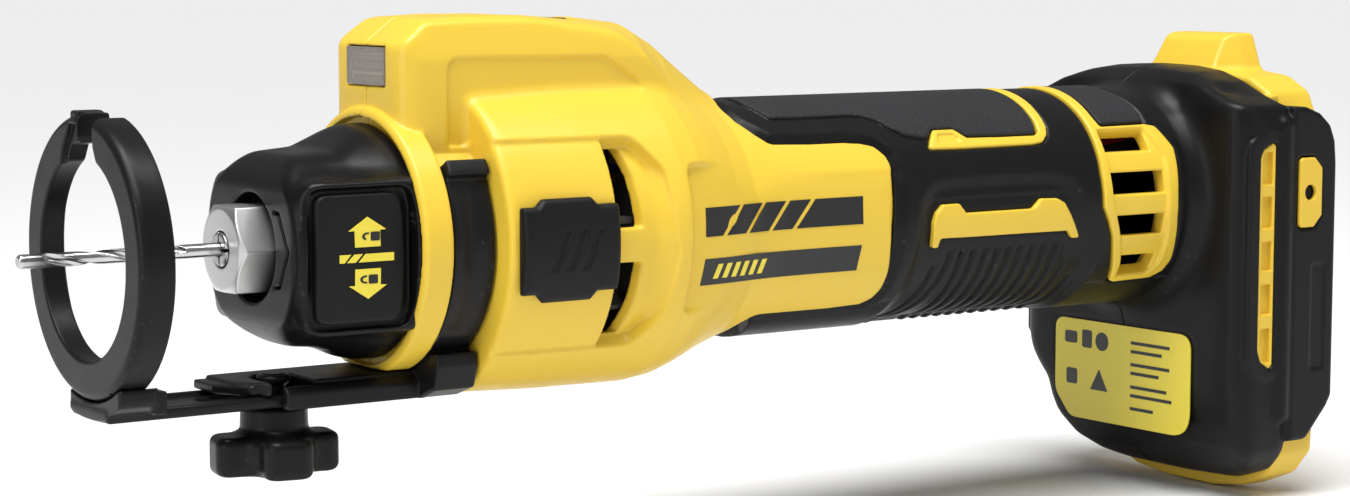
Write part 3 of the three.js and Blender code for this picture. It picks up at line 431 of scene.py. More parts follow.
STRIP = [(-14.5, 11.6), (-13.5, 13.6), (-9.8, 15.4), (-8.9, 14.6), (-8.9, -43.8), (-10.0, -44.9), (-13.3, -42.8), (-14.5, -39.6)]


def overmould(side):
    h = 0.42
    g = Grid((-165.8, -45.4, -78.5), (14.4, 1.0, 37.4), h)
    x1 = g.ax[0]
    X = np.repeat(x1[:, None], len(TH), 1)
    S = (TH * K)[None, :]
    tg = on_handle(x1, TONGUE, 3.0)
    R = np.full(X.shape, 29.45, F)
    R -= 1.5 * (1 - step(tg / 3.3))
    p1, p2 = on_handle(x1, PAD1, 1.2), on_handle(x1, PAD2, 0.6)
    for p in (p1, p2):
        R -= 0.75 * np.exp(-((p + 0.1) / 0.42) ** 2)
        R += 0.12 * inside(p + 0.8, 0.4)
    rc = on_handle(x1, RECESS, 3.0)
    plate_line = S - (9.0 * K)
    R -= 1.35 * step(-rc / 4.6) * (X < -40)
    R -= 0.25 * inside(np.maximum(rc + 4.6, plate_line), 0.3)
    for i, gx in enumerate([-111.1, -106.8, -102.8, -99.0, -95.0, -91.1, -87.2, -83.3, -79.3, -75.3, -71.2, -66.9, -62.2]):
        top = {0: -25, 11: -27, 12: -40}.get(i, -17.5)
        bend = gx + 0.006 * (S - top * K) ** 2 * (-1 if i < 2 else 0.0)
        R -= 0.85 * np.exp(-(np.abs(X - bend) / 0.42) ** 2) * step((top - TH[None, :]) / 3.0)
        R += 0.25 * np.exp(-(np.abs(X - bend - 1.6) / 0.9) ** 2) * step((top - TH[None, :]) / 3.0)
    tr, vt = on_handle(x1, TRIM1, 0.8), on_handle(x1, VENT, 1.0)
    R -= 0.9 * inside(tr - 0.25, 0.3) + 0.45 * np.exp(-((vt - 0.3) / 0.5) ** 2)
    bd = on_handle(x1, BADGE, 0.8)
    R -= 0.25 * inside(bd - 0.35, 0.25)
    fh = g.rho - g.wrap(R.astype(F))
    fh = np.maximum(fh, g.x + 6)
    # foot body
    A = poly(g.y if side < 0 else -g.y, g.z, fillet(FRONT, [4, 6, 4, 5, 8, 8, 8, 8, 8, 8, 8, 5, 4, 6, 5, 5, 4, 5, 5, 8, 8, 6, 5, 4]))
    Bp = poly(g.x, g.y, fillet([(-22.7, 60), (-22.7, -43.0), (-1.9, -43.0), (-1.9, 60)], [0, 11, 1, 0], 8))
    Cs = poly(g.x, g.z, fillet(BODY_SIDE, 2))
    foot = smax(smax(A, Cs, 3.5), Bp, 2.5)
    kk = 0.3 + 6.9 * step((g.x + 33.0) / 8.0)
    f = np.where(g.x > -34.0, smin(fh, foot, kk), fh)
    # soft dents where the handle flows into the foot
    for cx, cy, cz, r, dp in ((-22.6, -20.5, 27.5, 3.4, 1.0), (-14.5, -29.5, 28.5, 3.4, 0.9)):
        d = np.sqrt((g.x - cx) ** 2 + (g.y - cy) ** 2 + (g.z - cz) ** 2 * 0.6)
        f = f + dp * np.exp(-(d / r) ** 2)
    # flange, ridge and the lip round the vent strip; the right flange ends higher, above the cut corner
    e = 0.0 if side < 0 else 9.0
    zside = poly(g.x, g.z, fillet([(-3.2, 24.8), (1.7, 24.6), (6.9, 22.8), (10.8, 19.6), (12.7, 15.2), (13.3, 9), (13.3, -53.5 + e), (11.4, -56.6 + e), (3.6, -65.0 + e), (-3.2, -65.0 + e)], [0, 1, 2, 3, 3, 2, 3, 3, 3, 1]))
    fl = smax(g.ay - 44.1, zside, 1.4)
    fl = np.maximum(fl, 36.6 - g.ay)
    lip = smax(poly(g.x, g.z, fillet([(-18.8, 12.4), (-18.1, 15.8), (-11.8, 19.4), (-7.9, 19.4), (-7.9, -47.6), (-12.0, -47.6), (-16.8, -45.4), (-18.8, -42)], 1.6)), g.ay - 43.3, 0.9)
    lip = np.maximum(lip, 38 - g.ay)
    rdg = np.sqrt((g.x + 5.3) ** 2 + (g.y + 41.3) ** 2 + np.maximum(np.maximum(g.z - 19.5, -57.5 + e - g.z), 0) ** 2) - 3.2
    f = smin(f, lip, 0.9); f = smin(f, rdg, 0.9); f = smin(f, fl, 0.9)
    st = poly(g.x, g.z, fillet(STRIP, 0.8))
    f = smax(f, -np.maximum(st - 0.15, 40.4 - g.ay), 0.5)
    hk = poly(g.x, g.z, fillet([(-1.3, -6.8), (-1.3, 10.5), (-0.2, 11.2), (4.4, 11.2), (7.2, 8.4), (7.2, -4.6), (4.2, -7.6), (-0.4, -7.6)], 0.8))
    f = smax(f, -np.maximum(hk - 0.3, 43.3 - g.ay), 0.3)
    f = smax(f, -np.maximum(poly(g.x, g.z, fillet(rect(4.2, 9.3, -46, -17.5), 1.0)), 43.8 - g.ay), 0.2)
    # label seat on the front face
    lb = poly(g.y if side < 0 else -g.y, g.z, fillet([(-27.0, -65.2), (-27.0, -36.2), (27.6, -36.2), (27.6, -58), (21, -65.2)], [7, 5, 4, 6, 5]))
    f = smax(f, -np.maximum(lb - 0.4, g.x + 22.0), 0.5)
    # hollow
    rin = 26.65
    f = np.maximum(f, -np.maximum(g.rho - rin, g.x + 10))
    ins = poly(g.y if side < 0 else -g.y, g.z, fillet([(y * 0.93, -19.4 + (z + 19.4) * 0.945) for y, z in FRONT], 3))
    f = np.maximum(f, -np.maximum(np.maximum(ins, Bp + 3.0), np.maximum(Cs + 3.2, -19.6 - g.x)))
    f = np.maximum(f, -np.maximum(np.maximum(g.ay - 36.6, -3.4 - g.x), np.where(g.z > -62, -1, 1) * 1.0))
    # cut for the tongue, the trims and the vent
    tgw = g.wrap(tg)
    f = np.where(g.x < -100, smax(f, -(tgw - 0.12), 0.35), f)
    f = np.where((g.x > -62) & (g.x < -26), smax(f, -np.maximum(g.wrap(vt) - 0.15, 24 - g.rho), 0.35), f)
    f = np.maximum(f, curve(g.th, [(-91, -159.6), (-70, -159.9), (0, -170), (70, -170), (88, -164.2), (91, -164.2)]) - g.x)
    f = smax(f, g.y + 0.03, 0.2)
    return f, g, x1, tr, vt, bd, p1, p2


for side, tag in ((-1, "left"), (1, "right")):
    f, g, x1, tr, vt, bd, p1, p2 = overmould(side)
    mir = side > 0
    skin("overmould_" + tag, f, g, "housing", "rubber_grip", ("handle_grip_" + tag, "foot_shell_" + tag), mirror=mir)
    # yellow trim and vent frame, on a finer grid
    t = Grid((-115, -31.5, -8), (-63, 0.8, 31.5), 0.3)
    tt = t.wrap(on_handle(t.ax[0], TRIM1, 0.8))
    ft = smax(np.maximum(t.rho - 29.75, 27.4 - t.rho), tt, 0.5)
    ft = smax(ft, -np.maximum(t.wrap(on_handle(t.ax[0], [(-108.6, 37.5), (-107.4, 42.6), (-102.6, 42.6), (-101.4, 40.2), (-101.4, 37.5)], 0.4)), 29.2 - t.rho), 0.3)
    skin("grip_trim_" + tag, np.maximum(ft, t.y + 0.02), t, "housing", "yellow_plastic", mirror=mir)
    bb = smax(np.maximum(t.rho - 29.0, 26.9 - t.rho), t.wrap(on_handle(t.ax[0], BADGE, 0.8)), 0.4)
    skin("grip_badge_" + tag, np.maximum(bb, t.y + 2), t, "housing", "yellow_plastic", mirror=mir)
    v = Grid((-58.5, -31.6, -23), (-28, 0.8, 31), 0.27)
    vx = v.ax[0]
    outl = v.wrap(on_handle(vx, VENT, 1.0))
    Rv = 29.95 + 0.0 * v.x
    inner = v.wrap(on_handle(vx, [(-54.6, 40.6), (-54.8, 20), (-54.5, 2), (-52.6, -8), (-50.4, -18), (-47.6, -32), (-46.6, -41.5), (-36, -41.2), (-33.4, -34), (-33.6, -20), (-34.6, -8), (-34.6, 10), (-34.2, 24), (-38, 40.6)], 1.2))
    Rv = Rv - 0.9 * inside(inner + 0.1, 0.35)
    fv = smax(np.maximum(v.rho - Rv, 25.6 - v.rho), outl, 0.6)
    for a, b in ((28.2, 42.0), (5.2, 17.0), (-16.9, -5.8), (-42.0, -29.0)):
        zl, zh = 28.4 * math.sin(math.radians(a)), 28.4 * math.sin(math.radians(b))
        xr = -38.2 if a > 20 else -35.4
        op = smax(np.maximum(np.maximum(zl - v.z, v.z - zh), v.x - xr), inner + 0.25, 0.4)
        fv = smax(fv, -op, 0.55)
    skin("rear_vent_frame_" + tag, np.maximum(fv, v.y + 0.02), v, "housing", "yellow_plastic", ("rear_vent_" + tag,), mirror=mir)
    # soft pads set in the top
    pg = Grid((-159.5, -30.6, 14), (-34, 0.8, 31), 0.42)
    a = pg.wrap(on_handle(pg.ax[0], PAD1, 1.2)); b = pg.wrap(on_handle(pg.ax[0], PAD2, 0.6))
    fp = smax(np.maximum(pg.rho - 29.78, 28.6 - pg.rho), np.minimum(a, b) + 0.45, 0.6)
    skin("grip_pad_" + tag, np.maximum(fp, pg.y + 0.01), pg, "housing", "grip_pad", ("grip_top_pad",), mirror=mir)
    # vent strip in the foot
    sg = Grid((-15.6, -44, -46.5), (-8.0, -39.5, 17), 0.2)
    st = poly(sg.x, sg.z, fillet(STRIP, 0.8))
    fs = smax(st, np.maximum(sg.ay - 42.9, 40.6 - sg.ay), 0.3)
    for a, b in ((-43.2, -34.0), (-30.2, -22.2), (-18.5, -10.8), (-7.2, 1.1), (4.4, 13.0)):
        fs = smax(fs, -np.maximum(smax(np.maximum(np.maximum(a - sg.z, sg.z - b), np.maximum(-13.5 - sg.x, sg.x + 9.8)), st + 0.8, 0.3), 41.3 - sg.ay), 0.4)
    skin("foot_vent_strip_" + tag, fs, sg, "housing", "core_yellow", ("foot_vent_" + tag,), mirror=mir)
    hg = Grid((-2, -45.4, -8.6), (8.2, -42.8, 12.2), 0.16)
    hk = poly(hg.x, hg.z, fillet([(-1.2, -6.8), (-1.2, 10.5), (-0.2, 11.1), (4.3, 11.1), (7.1, 8.3), (7.1, -4.5), (4.1, -7.5), (-0.4, -7.5)], 0.8))
    hr = np.sqrt((hg.x - 2.7) ** 2 + (hg.z - 1.8) ** 2)
    fhk = smax(smax(hk, np.maximum(hg.ay - 44.7, 43.35 - hg.ay), 0.5), -np.maximum(hr - 2.1, 43.2 - hg.ay), 0.3)
    skin("hook_pad_face_" + tag, fhk, hg, "housing", "core_yellow", ("hook_pad_" + tag,), mirror=mir)
    # badge in the barrel
    sb = Grid((-239.8, -39.4, -14), (-211.9, -35.2, 12), 0.24)
    bo = poly(sb.x, sb.z, fillet([(-238.7, 9.0), (-238.7, -10.7), (-234.9, -10.7), (-233.1, -12.7), (-220.3, -12.7), (-218.7, -10.7), (-213.2, -10.7), (-213.2, 9.0), (-218.7, 9.0), (-220.3, 10.7), (-233.1, 10.7), (-234.9, 9.0)], 0.7))
    ys = np.sqrt(np.maximum(38.7 ** 2 - sb.z ** 2, 1)) + 0 * sb.x
    fb_ = smax(bo, sb.ay - ys, 1.6)
    for k in range(3):
        u = (sb.x + 229.4 - 4.2 * k) - 0.45 * (sb.z + 1.0)
        fb_ = smax(fb_, -np.maximum(np.maximum(np.abs(u) - 0.9, np.abs(sb.z + 1.0) - 4.4), ys - 0.45 - sb.ay), 0.25)
    skin("side_badge_face_" + tag, np.maximum(fb_, 35.5 - sb.ay), sb, "housing", "sleeve_pad", ("side_badge_" + tag,), mirror=mir)

# ---------------------------------------------- receptacle core, cap and hump
g = Grid((-5.4, -42.2, -81.6), (14.2, 42.2, 44.6), 0.4)
ftl = fillet(FRONT, 3)
floor_ = np.maximum(poly(g.y, g.z, [(y * 0.9, -19.4 + (z + 19.4) * 0.93) for y, z in FRONT]), np.maximum(-4.2 - g.x, g.x + 1.0))
wall_l = np.maximum(poly(g.x, g.z, fillet([(-4.2, 20), (8, 18.2), (12.9, 12), (12.9, -52), (10.8, -56), (3.4, -63.4), (-4.2, -66)], 1.5)), g.y)
wall_r = np.maximum(poly(g.x, g.z, fillet([(-4.2, 20), (8, 18.2), (12.9, 12), (12.9, -43), (10.8, -47), (3.4, -54.4), (-4.2, -56)], 1.5)), -g.y)
walls = smax(smax(g.ay - 41.2, 36.8 - g.ay, 0.8), np.minimum(wall_l, wall_r), 0.8)
lips = rbox(g, 8.8, 12.9, 31.2, 37.5, -44, 10, 0.9)
lips = np.minimum(lips, rbox(g, 8.8, 12.9, -37.5, -31.2, -53, 10, 0.9))
rim_o = poly(g.y, g.z, fillet([(-41.6, -60), (-41.6, -20), (41.6, -20), (41.6, -44), (31.3, -56), (29.6, -65), (23.5, -73.6), (12, -78.6), (0, -80.0), (-18, -80.2), (-29, -78.8), (-37.5, -75.0), (-41.2, -69)], 4))
rim = np.maximum(np.maximum(smax(rim_o, np.maximum(-5.0 - g.x, g.x - curve(g.ay, [(0, 4.0), (30, 4.5), (40, 8.0), (42, 9.5)])), 1.2), -(rim_o + 4.6)), g.z + 50)
cap_o = poly(g.ay, g.z, fillet([(-30, 0), (-30, 33.6), (16, 33.4), (26.6, 32.1), (33.8, 28.2), (36.4, 22.5), (36.4, 0)], [0, 0, 8, 6, 4, 1, 0]))
cap_i = cap_o + 2.4
cap = np.maximum(smax(cap_o, np.maximum(-2.9 - g.x, g.x - 13.2), 1.6), -np.maximum(cap_i, -1.0 - g.x))
cap = np.maximum(cap, np.maximum(14 - g.z, np.where((g.x > 5), 21 - g.z, -99)))
hump = poly(g.x, g.z, fillet([(-2.6, 29), (-2.3, 33.2), (3.9, 43.6), (13.2, 43.6), (13.2, 29)], [0, 0, 2.2, 1.2, 0]))
taper = 1.0 - 0.20 * step((8 - g.x) / 10.0)
hump = smax(smax(hump, poly(g.ay, g.z, fillet([(-20, 29), (-20, 43.6), (12.4, 43.6), (16.2, 33), (16.6, 29)], [0, 0, 2.2, 0, 0])) + (15.6 * (1 - taper)), 0.9), 29.4 - g.z, 0.3)
cross = np.maximum(rbox(g, -4.2, -1, -36, 36, 20, 27.5, 0.5), 0 * g.x - 99)
f = np.minimum(floor_, np.minimum(walls, lips)); f = smin(f, rim, 0.5); f = np.minimum(f, cross)
f = np.minimum(f, smin(cap, hump, 1.6))
f = smax(f, -rbox(g, -8, 0.5, -15, 15, 11, 21.6, 0.5), 0.3)
f = np.minimum(f, rbox(g, -3, 0.0, -10, 6, -7, 7, 0.3))
for zc in (-40, -30, -20):
    f = smax(f, -rbox(g, -1.7, 2, -22, 22, zc - 2, zc + 2, 0.8), 0.4)
skin("receptacle_core", f, g, "housing", "core_yellow", ("battery_receptacle",))

# ------------------------------------------------------------- twist-lock nose
g = Grid((-288, -28.6, -28.6), (-256.8, 28.6, 28.6), 0.3)
prof = [(-286.6, 21.4), (-285.6, 22.7), (-283.6, 23.4), (-280.5, 23.8), (-275.5, 24.0), (-271, 24.7), (-267, 25.8), (-263, 26.7), (-257.9, 26.9)]
body = lathe(g, prof, 0.9, 0.9)
ztop = curve(g.x, [(-286.6, 15.6), (-283.4, 19.4), (-281.3, 20.9), (-276, 21.4), (-271.5, 21.7), (-267, 24.3), (-263, 28), (-256, 34)], 0.7)
zbot = curve(g.x, [(-286.6, 16.0), (-283.4, 20.2), (-280.5, 22.2), (-275, 22.9), (-270, 24.4), (-266, 28), (-256, 34)], 0.7)
body = smax(body, np.maximum((g.z - ztop) * 0.75, (-g.z - zbot) * 0.75), 2.0)
padf = smax(poly(g.x, g.z, fillet([(-286.0, -18.2), (-286.0, 16.0), (-255, 16.0), (-255, -18.2)], [5, 5, 0, 0])), g.ay - curve(g.x, [(-287, 21.0), (-284, 23.4), (-281, 24.7), (-250, 25.0)], 0.8), 3.0)
body = smin(body, padf, 3.0)
waist = np.sqrt((g.x + 284.3) ** 2 + (g.ay - 26.0) ** 2) - 2.6
pr = poly(g.x, g.z, fillet([(-284.4, -16.8), (-284.4, 14.2), (-260.2, 14.2), (-259.2, 9), (-259.2, -12), (-260.6, -16.8)], [3.5, 3.5, 4, 3, 3, 4]))
f = smax(body, -smax(pr, 22.4 - g.ay, 0.8), 1.1)
f = smax(f, -np.maximum(g.rho - 12.3, 0 * g.x - 9), 0.7)
f = np.maximum(f, -np.maximum(np.maximum(g.rho - 19.0, -283.4 - g.x), body + 1.7))
f = np.maximum(f, g.x + 258.0)
# marks beside the opening
for a, b in (((-14.2, 8.4), (-18.6, 0.4)), ((-18.6, 0.4), (-14.4, -7.6)), ((-12.0, 8.6), (-14.2, 8.4)), ((-12.0, -8.0), (-14.4, -7.6))):
    ex, ey = b[0] - a[0], b[1] - a[1]
    t = np.clip(((g.y - a[0]) * ex + (g.z - a[1]) * ey) / (ex * ex + ey * ey), 0, 1)
    dd = np.sqrt((g.y - a[0] - ex * t) ** 2 + (g.z - a[1] - ey * t) ** 2)
    f = smax(f, -np.maximum(dd - 0.32, g.x + 286.1), 0.2)
skin("lock_sleeve_body", f, g, "lock_sleeve", "black_plastic", ("lock_sleeve",))
for side, tag in ((-1, "left"), (1, "right")):
    pg = Grid((-284, -26, -17), (-260.6, -21.8, 14.4), 0.22)
    o = poly(pg.x, pg.z, fillet([(-283.0, -15.5), (-283.0, 13.0), (-262.6, 13.0), (-261.6, 8), (-261.2, -2), (-261.6, -11), (-262.8, -15.5)], [3, 3, 3, 3, 3, 3, 3]))
    yy = 24.75 - 0.0022 * (pg.z + 1) ** 2 - 0.006 * np.maximum(-275 - pg.x, 0) ** 2
    fp = smax(smax(o, pg.ay - yy, 1.1), 22.5 - pg.ay, 0.3)
    skin("sleeve_pad_face_" + tag, fp, pg, "lock_sleeve", "sleeve_pad", ("sleeve_pad_" + tag,), mirror=side > 0)
    pl = lambda u, v, w, s=side: (u, s * (24.71 + w), v)
    arrow = [(-274.0, 1.3), (-267.7, 1.3), (-267.8, 4.9), (-266.3, 5.0), (-270.9, 7.9), (-275.6, 4.9), (-274.1, 4.9)]
    plate("icon_up_" + tag, arrow, pl, 0.13, "lock_sleeve", "label_yellow")
    plate("icon_down_" + tag, [(x, -2.2 - z) for x, z in arrow[::-1]], pl, 0.13, "lock_sleeve", "label_yellow")
    xs = [-277.8, -275.9, -273.4, -270.9, -264.4]
    plate("icon_bit_a_" + tag, [(-277.8, -2.0), (-276.6, -2.0), (-275.0, -0.2), (-277.8, -0.2)], pl, 0.13, "lock_sleeve", "label_yellow")
    plate("icon_bit_b_" + tag, [(-276.0, -2.0), (-273.9, -2.0), (-272.1, -0.2), (-274.2, -0.2)], pl, 0.13, "lock_sleeve", "label_yellow")
    plate("icon_bit_c_" + tag, [(-273.2, -2.0), (-264.4, -2.0), (-264.4, -0.2), (-271.4, -0.2)], pl, 0.13, "lock_sleeve", "label_yellow")
    pl2 = lambda u, v, w, s=side: (u, s * (24.85 + w), v)
    for nm, zc, dx in (("up", 3.6, 1.0), ("down", -5.8, 0.4)):
        plate("icon_lock_%s_%s" % (nm, tag), fillet(rect(-271.2 + dx, -268.9 + dx, zc - 1.0, zc + 1.0), 0.4, 3), pl2, 0.06, "lock_sleeve", "label_black")
        arc = [(-271.6 + dx + 1.0 * math.cos(a) * 1.4 - 0.3, zc + 0.9 * math.sin(a)) for a in np.linspace(1.3, 5.0 - (0.7 if nm == "up" else 0.0), 10)]
        inn = [(-271.6 + dx + 0.55 * math.cos(a) * 1.4 - 0.3, zc + 0.5 * math.sin(a)) for a in np.linspace(5.0 - (0.7 if nm == "up" else 0.0), 1.3, 10)]
        plate("icon_shackle_%s_%s" % (nm, tag), arc + inn, pl2, 0.06, "lock_sleeve", "label_black")

# --------------------------------------------------------- nut, collet and bit
g = Grid((-295.2, -11.6, -11.6), (-277.0, 11.6, 11.6), 0.16)
hx = None
for i in range(6):
    a = math.radians(30 + 60 * i)
    d = g.y * math.cos(a) + g.z * math.sin(a) - 9.5
    hx = d if hx is None else smax(hx, d, 0.25)
cone = np.maximum((g.rho - 9.0 - (g.x + 294.2) * 1.75) * 0.5, (g.rho - 11.2))
f = smax(smax(hx, np.maximum(-294.2 - g.x, g.x + 277.7), 0.15), cone, 0.12)
f = smax(f, -(g.rho - 4.15), 0.35)
f = smax(f, -smax(g.rho - 7.2, -289.6 - g.x, 0.2), 0.2)
skin("collet_nut_hex", f, g, "rotor", "nut_steel", ("collet_nut",))
g = Grid((-295.4, -4.9, -4.9), (-277.4, 4.9, 4.9), 0.12)
f = lathe(g, [(-294.7, 3.5), (-294.3, 3.85), (-289.2, 3.85), (-288.4, 4.5), (-278, 4.5)], 0, 0.2)
f = np.maximum(f, -(g.rho - 1.75))
for i in range(4):
    a = math.pi / 4 * 0 + i * math.pi / 2
    d = np.abs(g.y * math.sin(a) - g.z * math.cos(a)) - 0.38
    f = smax(f, -np.maximum(np.maximum(d, -(g.y * math.cos(a) + g.z * math.sin(a))), g.x + 284), 0.15)
skin("collet_jaws", f, g, "rotor", "collet_steel", ("collet",))
g = Grid((-342, -2.2, -2.2), (-279, 2.2, 2.2), 0.1)
f = lathe(g, [(-341.3, 1.15), (-340.7, 1.5875), (-279.5, 1.5875)], 0.1, 0.2)
ph = (g.x + 336) * (2 * math.pi / 30.0)
dep = step((g.x + 337.2) / 2.5) * step((-300.5 - g.x) / 5.0)
for o in (0, math.pi):
    cy, cz = np.cos(ph + o + 2.3), np.sin(ph + o + 2.3)
    d = np.sqrt((g.y - 1.95 * cy) ** 2 + (g.z - 1.95 * cz) ** 2) - 1.28
    f = smax(f, -(d + (1 - dep) * 1.5), 0.12)
skin("spiral_bit_flutes", f, g, "rotor", "bit_steel", ("spiral_bit",))

# ------------------------------------------------------------------ depth guide
g = Grid((-327.6, -32.4, -32.4), (-315.4, 32.4, 33.2), 0.26)
f = smax(lathe(g, [(-326.8, 29.6), (-326.2, 30.4), (-325.2, 30.9), (-323.6, 31.0), (-319.0, 31.0)], 0.4, 0.7), -(g.rho - 22.35), 0.6)
f = smax(f, -np.maximum(g.rho - 27.6, -321.4 - g.x), 0.5)
f = smin(f, rbox(g, -326.6, -320.2, 1.7, 5.4, 26, 31.5, 0.6), 0.4)
gap = poly(g.y, g.z, fillet([(-9.8, 14), (-8.5, 20.1), (-6.5, 24.1), (-6.2, 36), (1.5, 36), (1.3, 25.9), (2.2, 24.5), (7.0, 23.9), (9.3, 20.3), (11, 14)], [0, 1, 1, 0, 0, .5, .5, .5, 1, 0]))
f = smax(f, -gap, 0.5)
f = smax(f, -np.maximum(poly(g.y, g.z, fillet([(2.5, 15), (2.0, 28.6), (5.6, 28.6), (9.4, 23), (12.0, 15)], 0.5)), g.x + 325.7), 0.4)
f = smax(f, -np.maximum(np.abs(g.y + 12.0 + (g.z + 28) * 0.3) - 0.25, np.maximum(g.z + 22, 30.3 - g.rho)), 0.3)
skin("guide_ring_shoe", f, g, "depth_guide", "guide_plastic", ("guide_ring",))
g = Grid((-327, -20.5, -36.2), (-253, 20.5, -24.5), 0.3)
f = smax(rbox(g, -325.8, -254, -9.8, 9.8, -35.0, -32.3, 0.9), -rbox(g, -318, -250, -7.6, 7.6, -33.2, -30, 0.6), 0.5)
arc = np.maximum(np.maximum(31.1 - g.rho, g.rho - 34.6), np.maximum(g.z + 26.6, np.maximum(-325.9 - g.x, g.x + 316.9)))
arc = smax(smax(arc, g.y - 11.5, 2.5), -g.y - 16.5, 1.2)
f = smin(f, smax(arc, -35.1 - g.z, 0.8), 1.4)
f = smin(f, rbox(g, -317.4, -314.3, -15.2, -9.8, -33.0, -27.9, 0.5), 0.5)
f = smax(f, -rbox(g, -300, -262, -3.2, 3.2, -40, -30, 2.6), 0.3)
f = np.maximum(f, -(np.maximum(g.rho - 31.2, np.maximum(-327 - g.x, g.x + 316.1))))
skin("guide_bar_channel", f, g, "depth_guide", "black_steel", ("guide_bar",))
g = Grid((-302.2, -33, -36.4), (-239.8, 33, 22), 0.33)
aa = np.degrees(np.arctan2(g.z, g.ay))
f = smax(smax(g.rho - 29.4, 26.9 - g.rho, 0.5), (aa - 37.5) * 0.49, 0.5)
f = smax(f, np.maximum(-251.5 - g.x, g.x + 240.9), 0.7)
f = f + 0.0
mid = 0.9 * np.exp(-((g.x + 246.2) / 2.6) ** 2)
f = f + mid * 0.6 * step((30 - aa) / 6.0) * step((aa + 45) / 6.0) * (g.rho > 28)
tab = smax(smax(g.rho - 31.9, 27.2 - g.rho, 0.5), np.maximum((aa - 38) * 0.5, (31.0 - aa) * 0.5), 0.5)
f = smin(f, smax(tab, np.maximum(-251.5 - g.x, g.x + 240.9), 0.7), 0.9)
yoke = smax(poly(g.ay, g.z, fillet([(-5, -24.4), (20.9, -24.4), (21.2, -27.5), (19.6, -32.7), (12.4, -35.3), (-5, -35.3)], 1.0)), np.maximum(-251.5 - g.x, g.x + 240.9), 0.8)
yoke = np.maximum(yoke, 26.9 - g.rho)
f = smin(f, yoke, 0.8)
plan = poly(g.x, g.y, fillet([(-293.4, 10.5), (-293.4, -4.0), (-288.0, -10.5), (-250, -10.5), (-250, 10.5)], [0.6, 1, 1, 0, 0]))
f = smin(f, smax(plan, np.maximum(-31.9 - g.z, g.z + 29.2), 0.5), 0.8)
nose_ = poly(g.x, g.y, fillet([(-296.6, 10.2), (-296.6, 0.0), (-291.0, -8.0), (-280, -8.0), (-280, 10.2)], [0.6, 1, 1, 0, 0]))
f = smin(f, smax(nose_, np.maximum(-32.0 - g.z, g.z + 29.9), 0.5), 0.3)
notch = poly(g.x, g.y, fillet([(-287.2, -20), (-287.2, 1.5), (-284.5, 4.4), (-279.0, 4.4), (-276.8, 1.5), (-276.8, -20)], 1.0))
f = smax(f, -np.maximum(notch, -33 - g.z), 0.5)
for s in (-1, 1):
    lip_ = smax(rbox(g, -284.6, -249.6, min(s * 10.2, s * 12.6), max(s * 10.2, s * 12.6), -35.3, -30.2, 0.4), (s * g.y + g.z + 31.6 - 12.6) * 0.707, 0.4)
    f = smin(f, np.maximum(lip_, -284.6 - g.x) if s < 0 else lip_, 0.4)
f = smax(f, -np.maximum(rbox(g, -256, -236, -10.1, 10.1, -37, -32.2, 0.5), -9.0), 0.5)
f = smax(f, -np.maximum(np.sqrt((g.x + 281.7) ** 2 + g.y ** 2) - 3.2, -9.0), 0.4)
f = np.maximum(f, np.where(g.x > -256, 26.85 - g.rho, -1e3))
skin("guide_bracket_clip", f, g, "housing", "black_steel", ("guide_bracket",))
g = Grid((-298.6, -17.2, -53.2), (-264.6, 17.2, -25.8), 0.27)
bx, by = g.x + 281.7, g.y
r = np.sqrt(bx ** 2 + by ** 2); ca, sa = math.cos(-0.187), math.sin(-0.187)
u, v = np.abs(bx * ca + by * sa), np.abs(-bx * sa + by * ca)


def arm(p, q):
    return np.sqrt(np.maximum(p - 10.7, 0) ** 2 + np.maximum(q - 2.2, 0) ** 2) - 3.5


lob = smin(arm(u, v), arm(v, u), 5.5)
f = smax(lob, np.maximum(-50.9 - g.z, g.z + 41.9), 2.2)
neck = smax(r - curve(g.z, [(-46, 9.5), (-42.4, 9.0), (-41, 7.7), (-35.8, 7.5)], 0.5), np.maximum(-46 - g.z, g.z + 35.8), 0.8)
f = smin(f, neck, 1.6)
f = smax(f, -np.maximum(r - 3.1, -48 - g.z), 0.3)
f = smax(f, -(np.sqrt(bx ** 2 + by ** 2 + ((g.z + 55.2) * 1.0) ** 2) - 7.0), 1.0)
skin("clamp_knob_grip", f, g, "clamp_knob", "guide_plastic", ("clamp_knob",))
g = Grid((-288, -6.2, -47.6), (-275.4, 6.2, -26.0), 0.2)
f = smin(lathe(g, [(-47, 2.7), (-28.4, 2.7)], 0, 0.4, "z", (-281.7, 0, 0)), lathe(g, [(-32.4, 2.6), (-31.2, 2.6), (-30.4, 3.7), (-29.4, 4.0), (-28.7, 3.5)], 0.12, 0.35, "z", (-281.7, 0, 0)), 0.3)
skin("clamp_bolt_head", f, g, "housing", "black_steel", ("clamp_bolt",))

# -------------------------------------------------------- lamp, button, labels
g = Grid((-258.8, -9.2, 34.6), (-254.0, 9.2, 44.8), 0.12)
f = smax(rbox(g, -257.75, -254.9, -8.7, 8.7, 35.35, 44.0, 0.3), -np.maximum(np.sqrt((g.x + 253.2) ** 2 + (g.z - 39.8) ** 2) - 3.3, np.abs(g.y) - 7.6), 0.2)
skin("lamp_lens_face", f, g, "housing", "lamp_lens", ("led_lens",))
g = Grid((-226.8, -8.2, 43.8), (-205.2, 8.2, 52.2), 0.2)
f = smax(rbox(g, -225.8, -206.2, -7.3, 7.3, 40, 50.1, 2.0), 44.9 - g.z, 0.4)
f = smax(f, -(np.sqrt((g.x + 216) ** 2 + g.y ** 2 + (g.z - 73) ** 2) - 23.7), 0.8)
for i in range(-3, 4):
    f = smin(f, smax(np.sqrt((g.x + 216 - i * 2.3) ** 2 + (g.z - 49.2) ** 2) - 0.65, g.ay - 5.0, 0.5), 0.4)
skin("power_button_cap", f, g, "power_button", "button_rubber", ("power_button",))
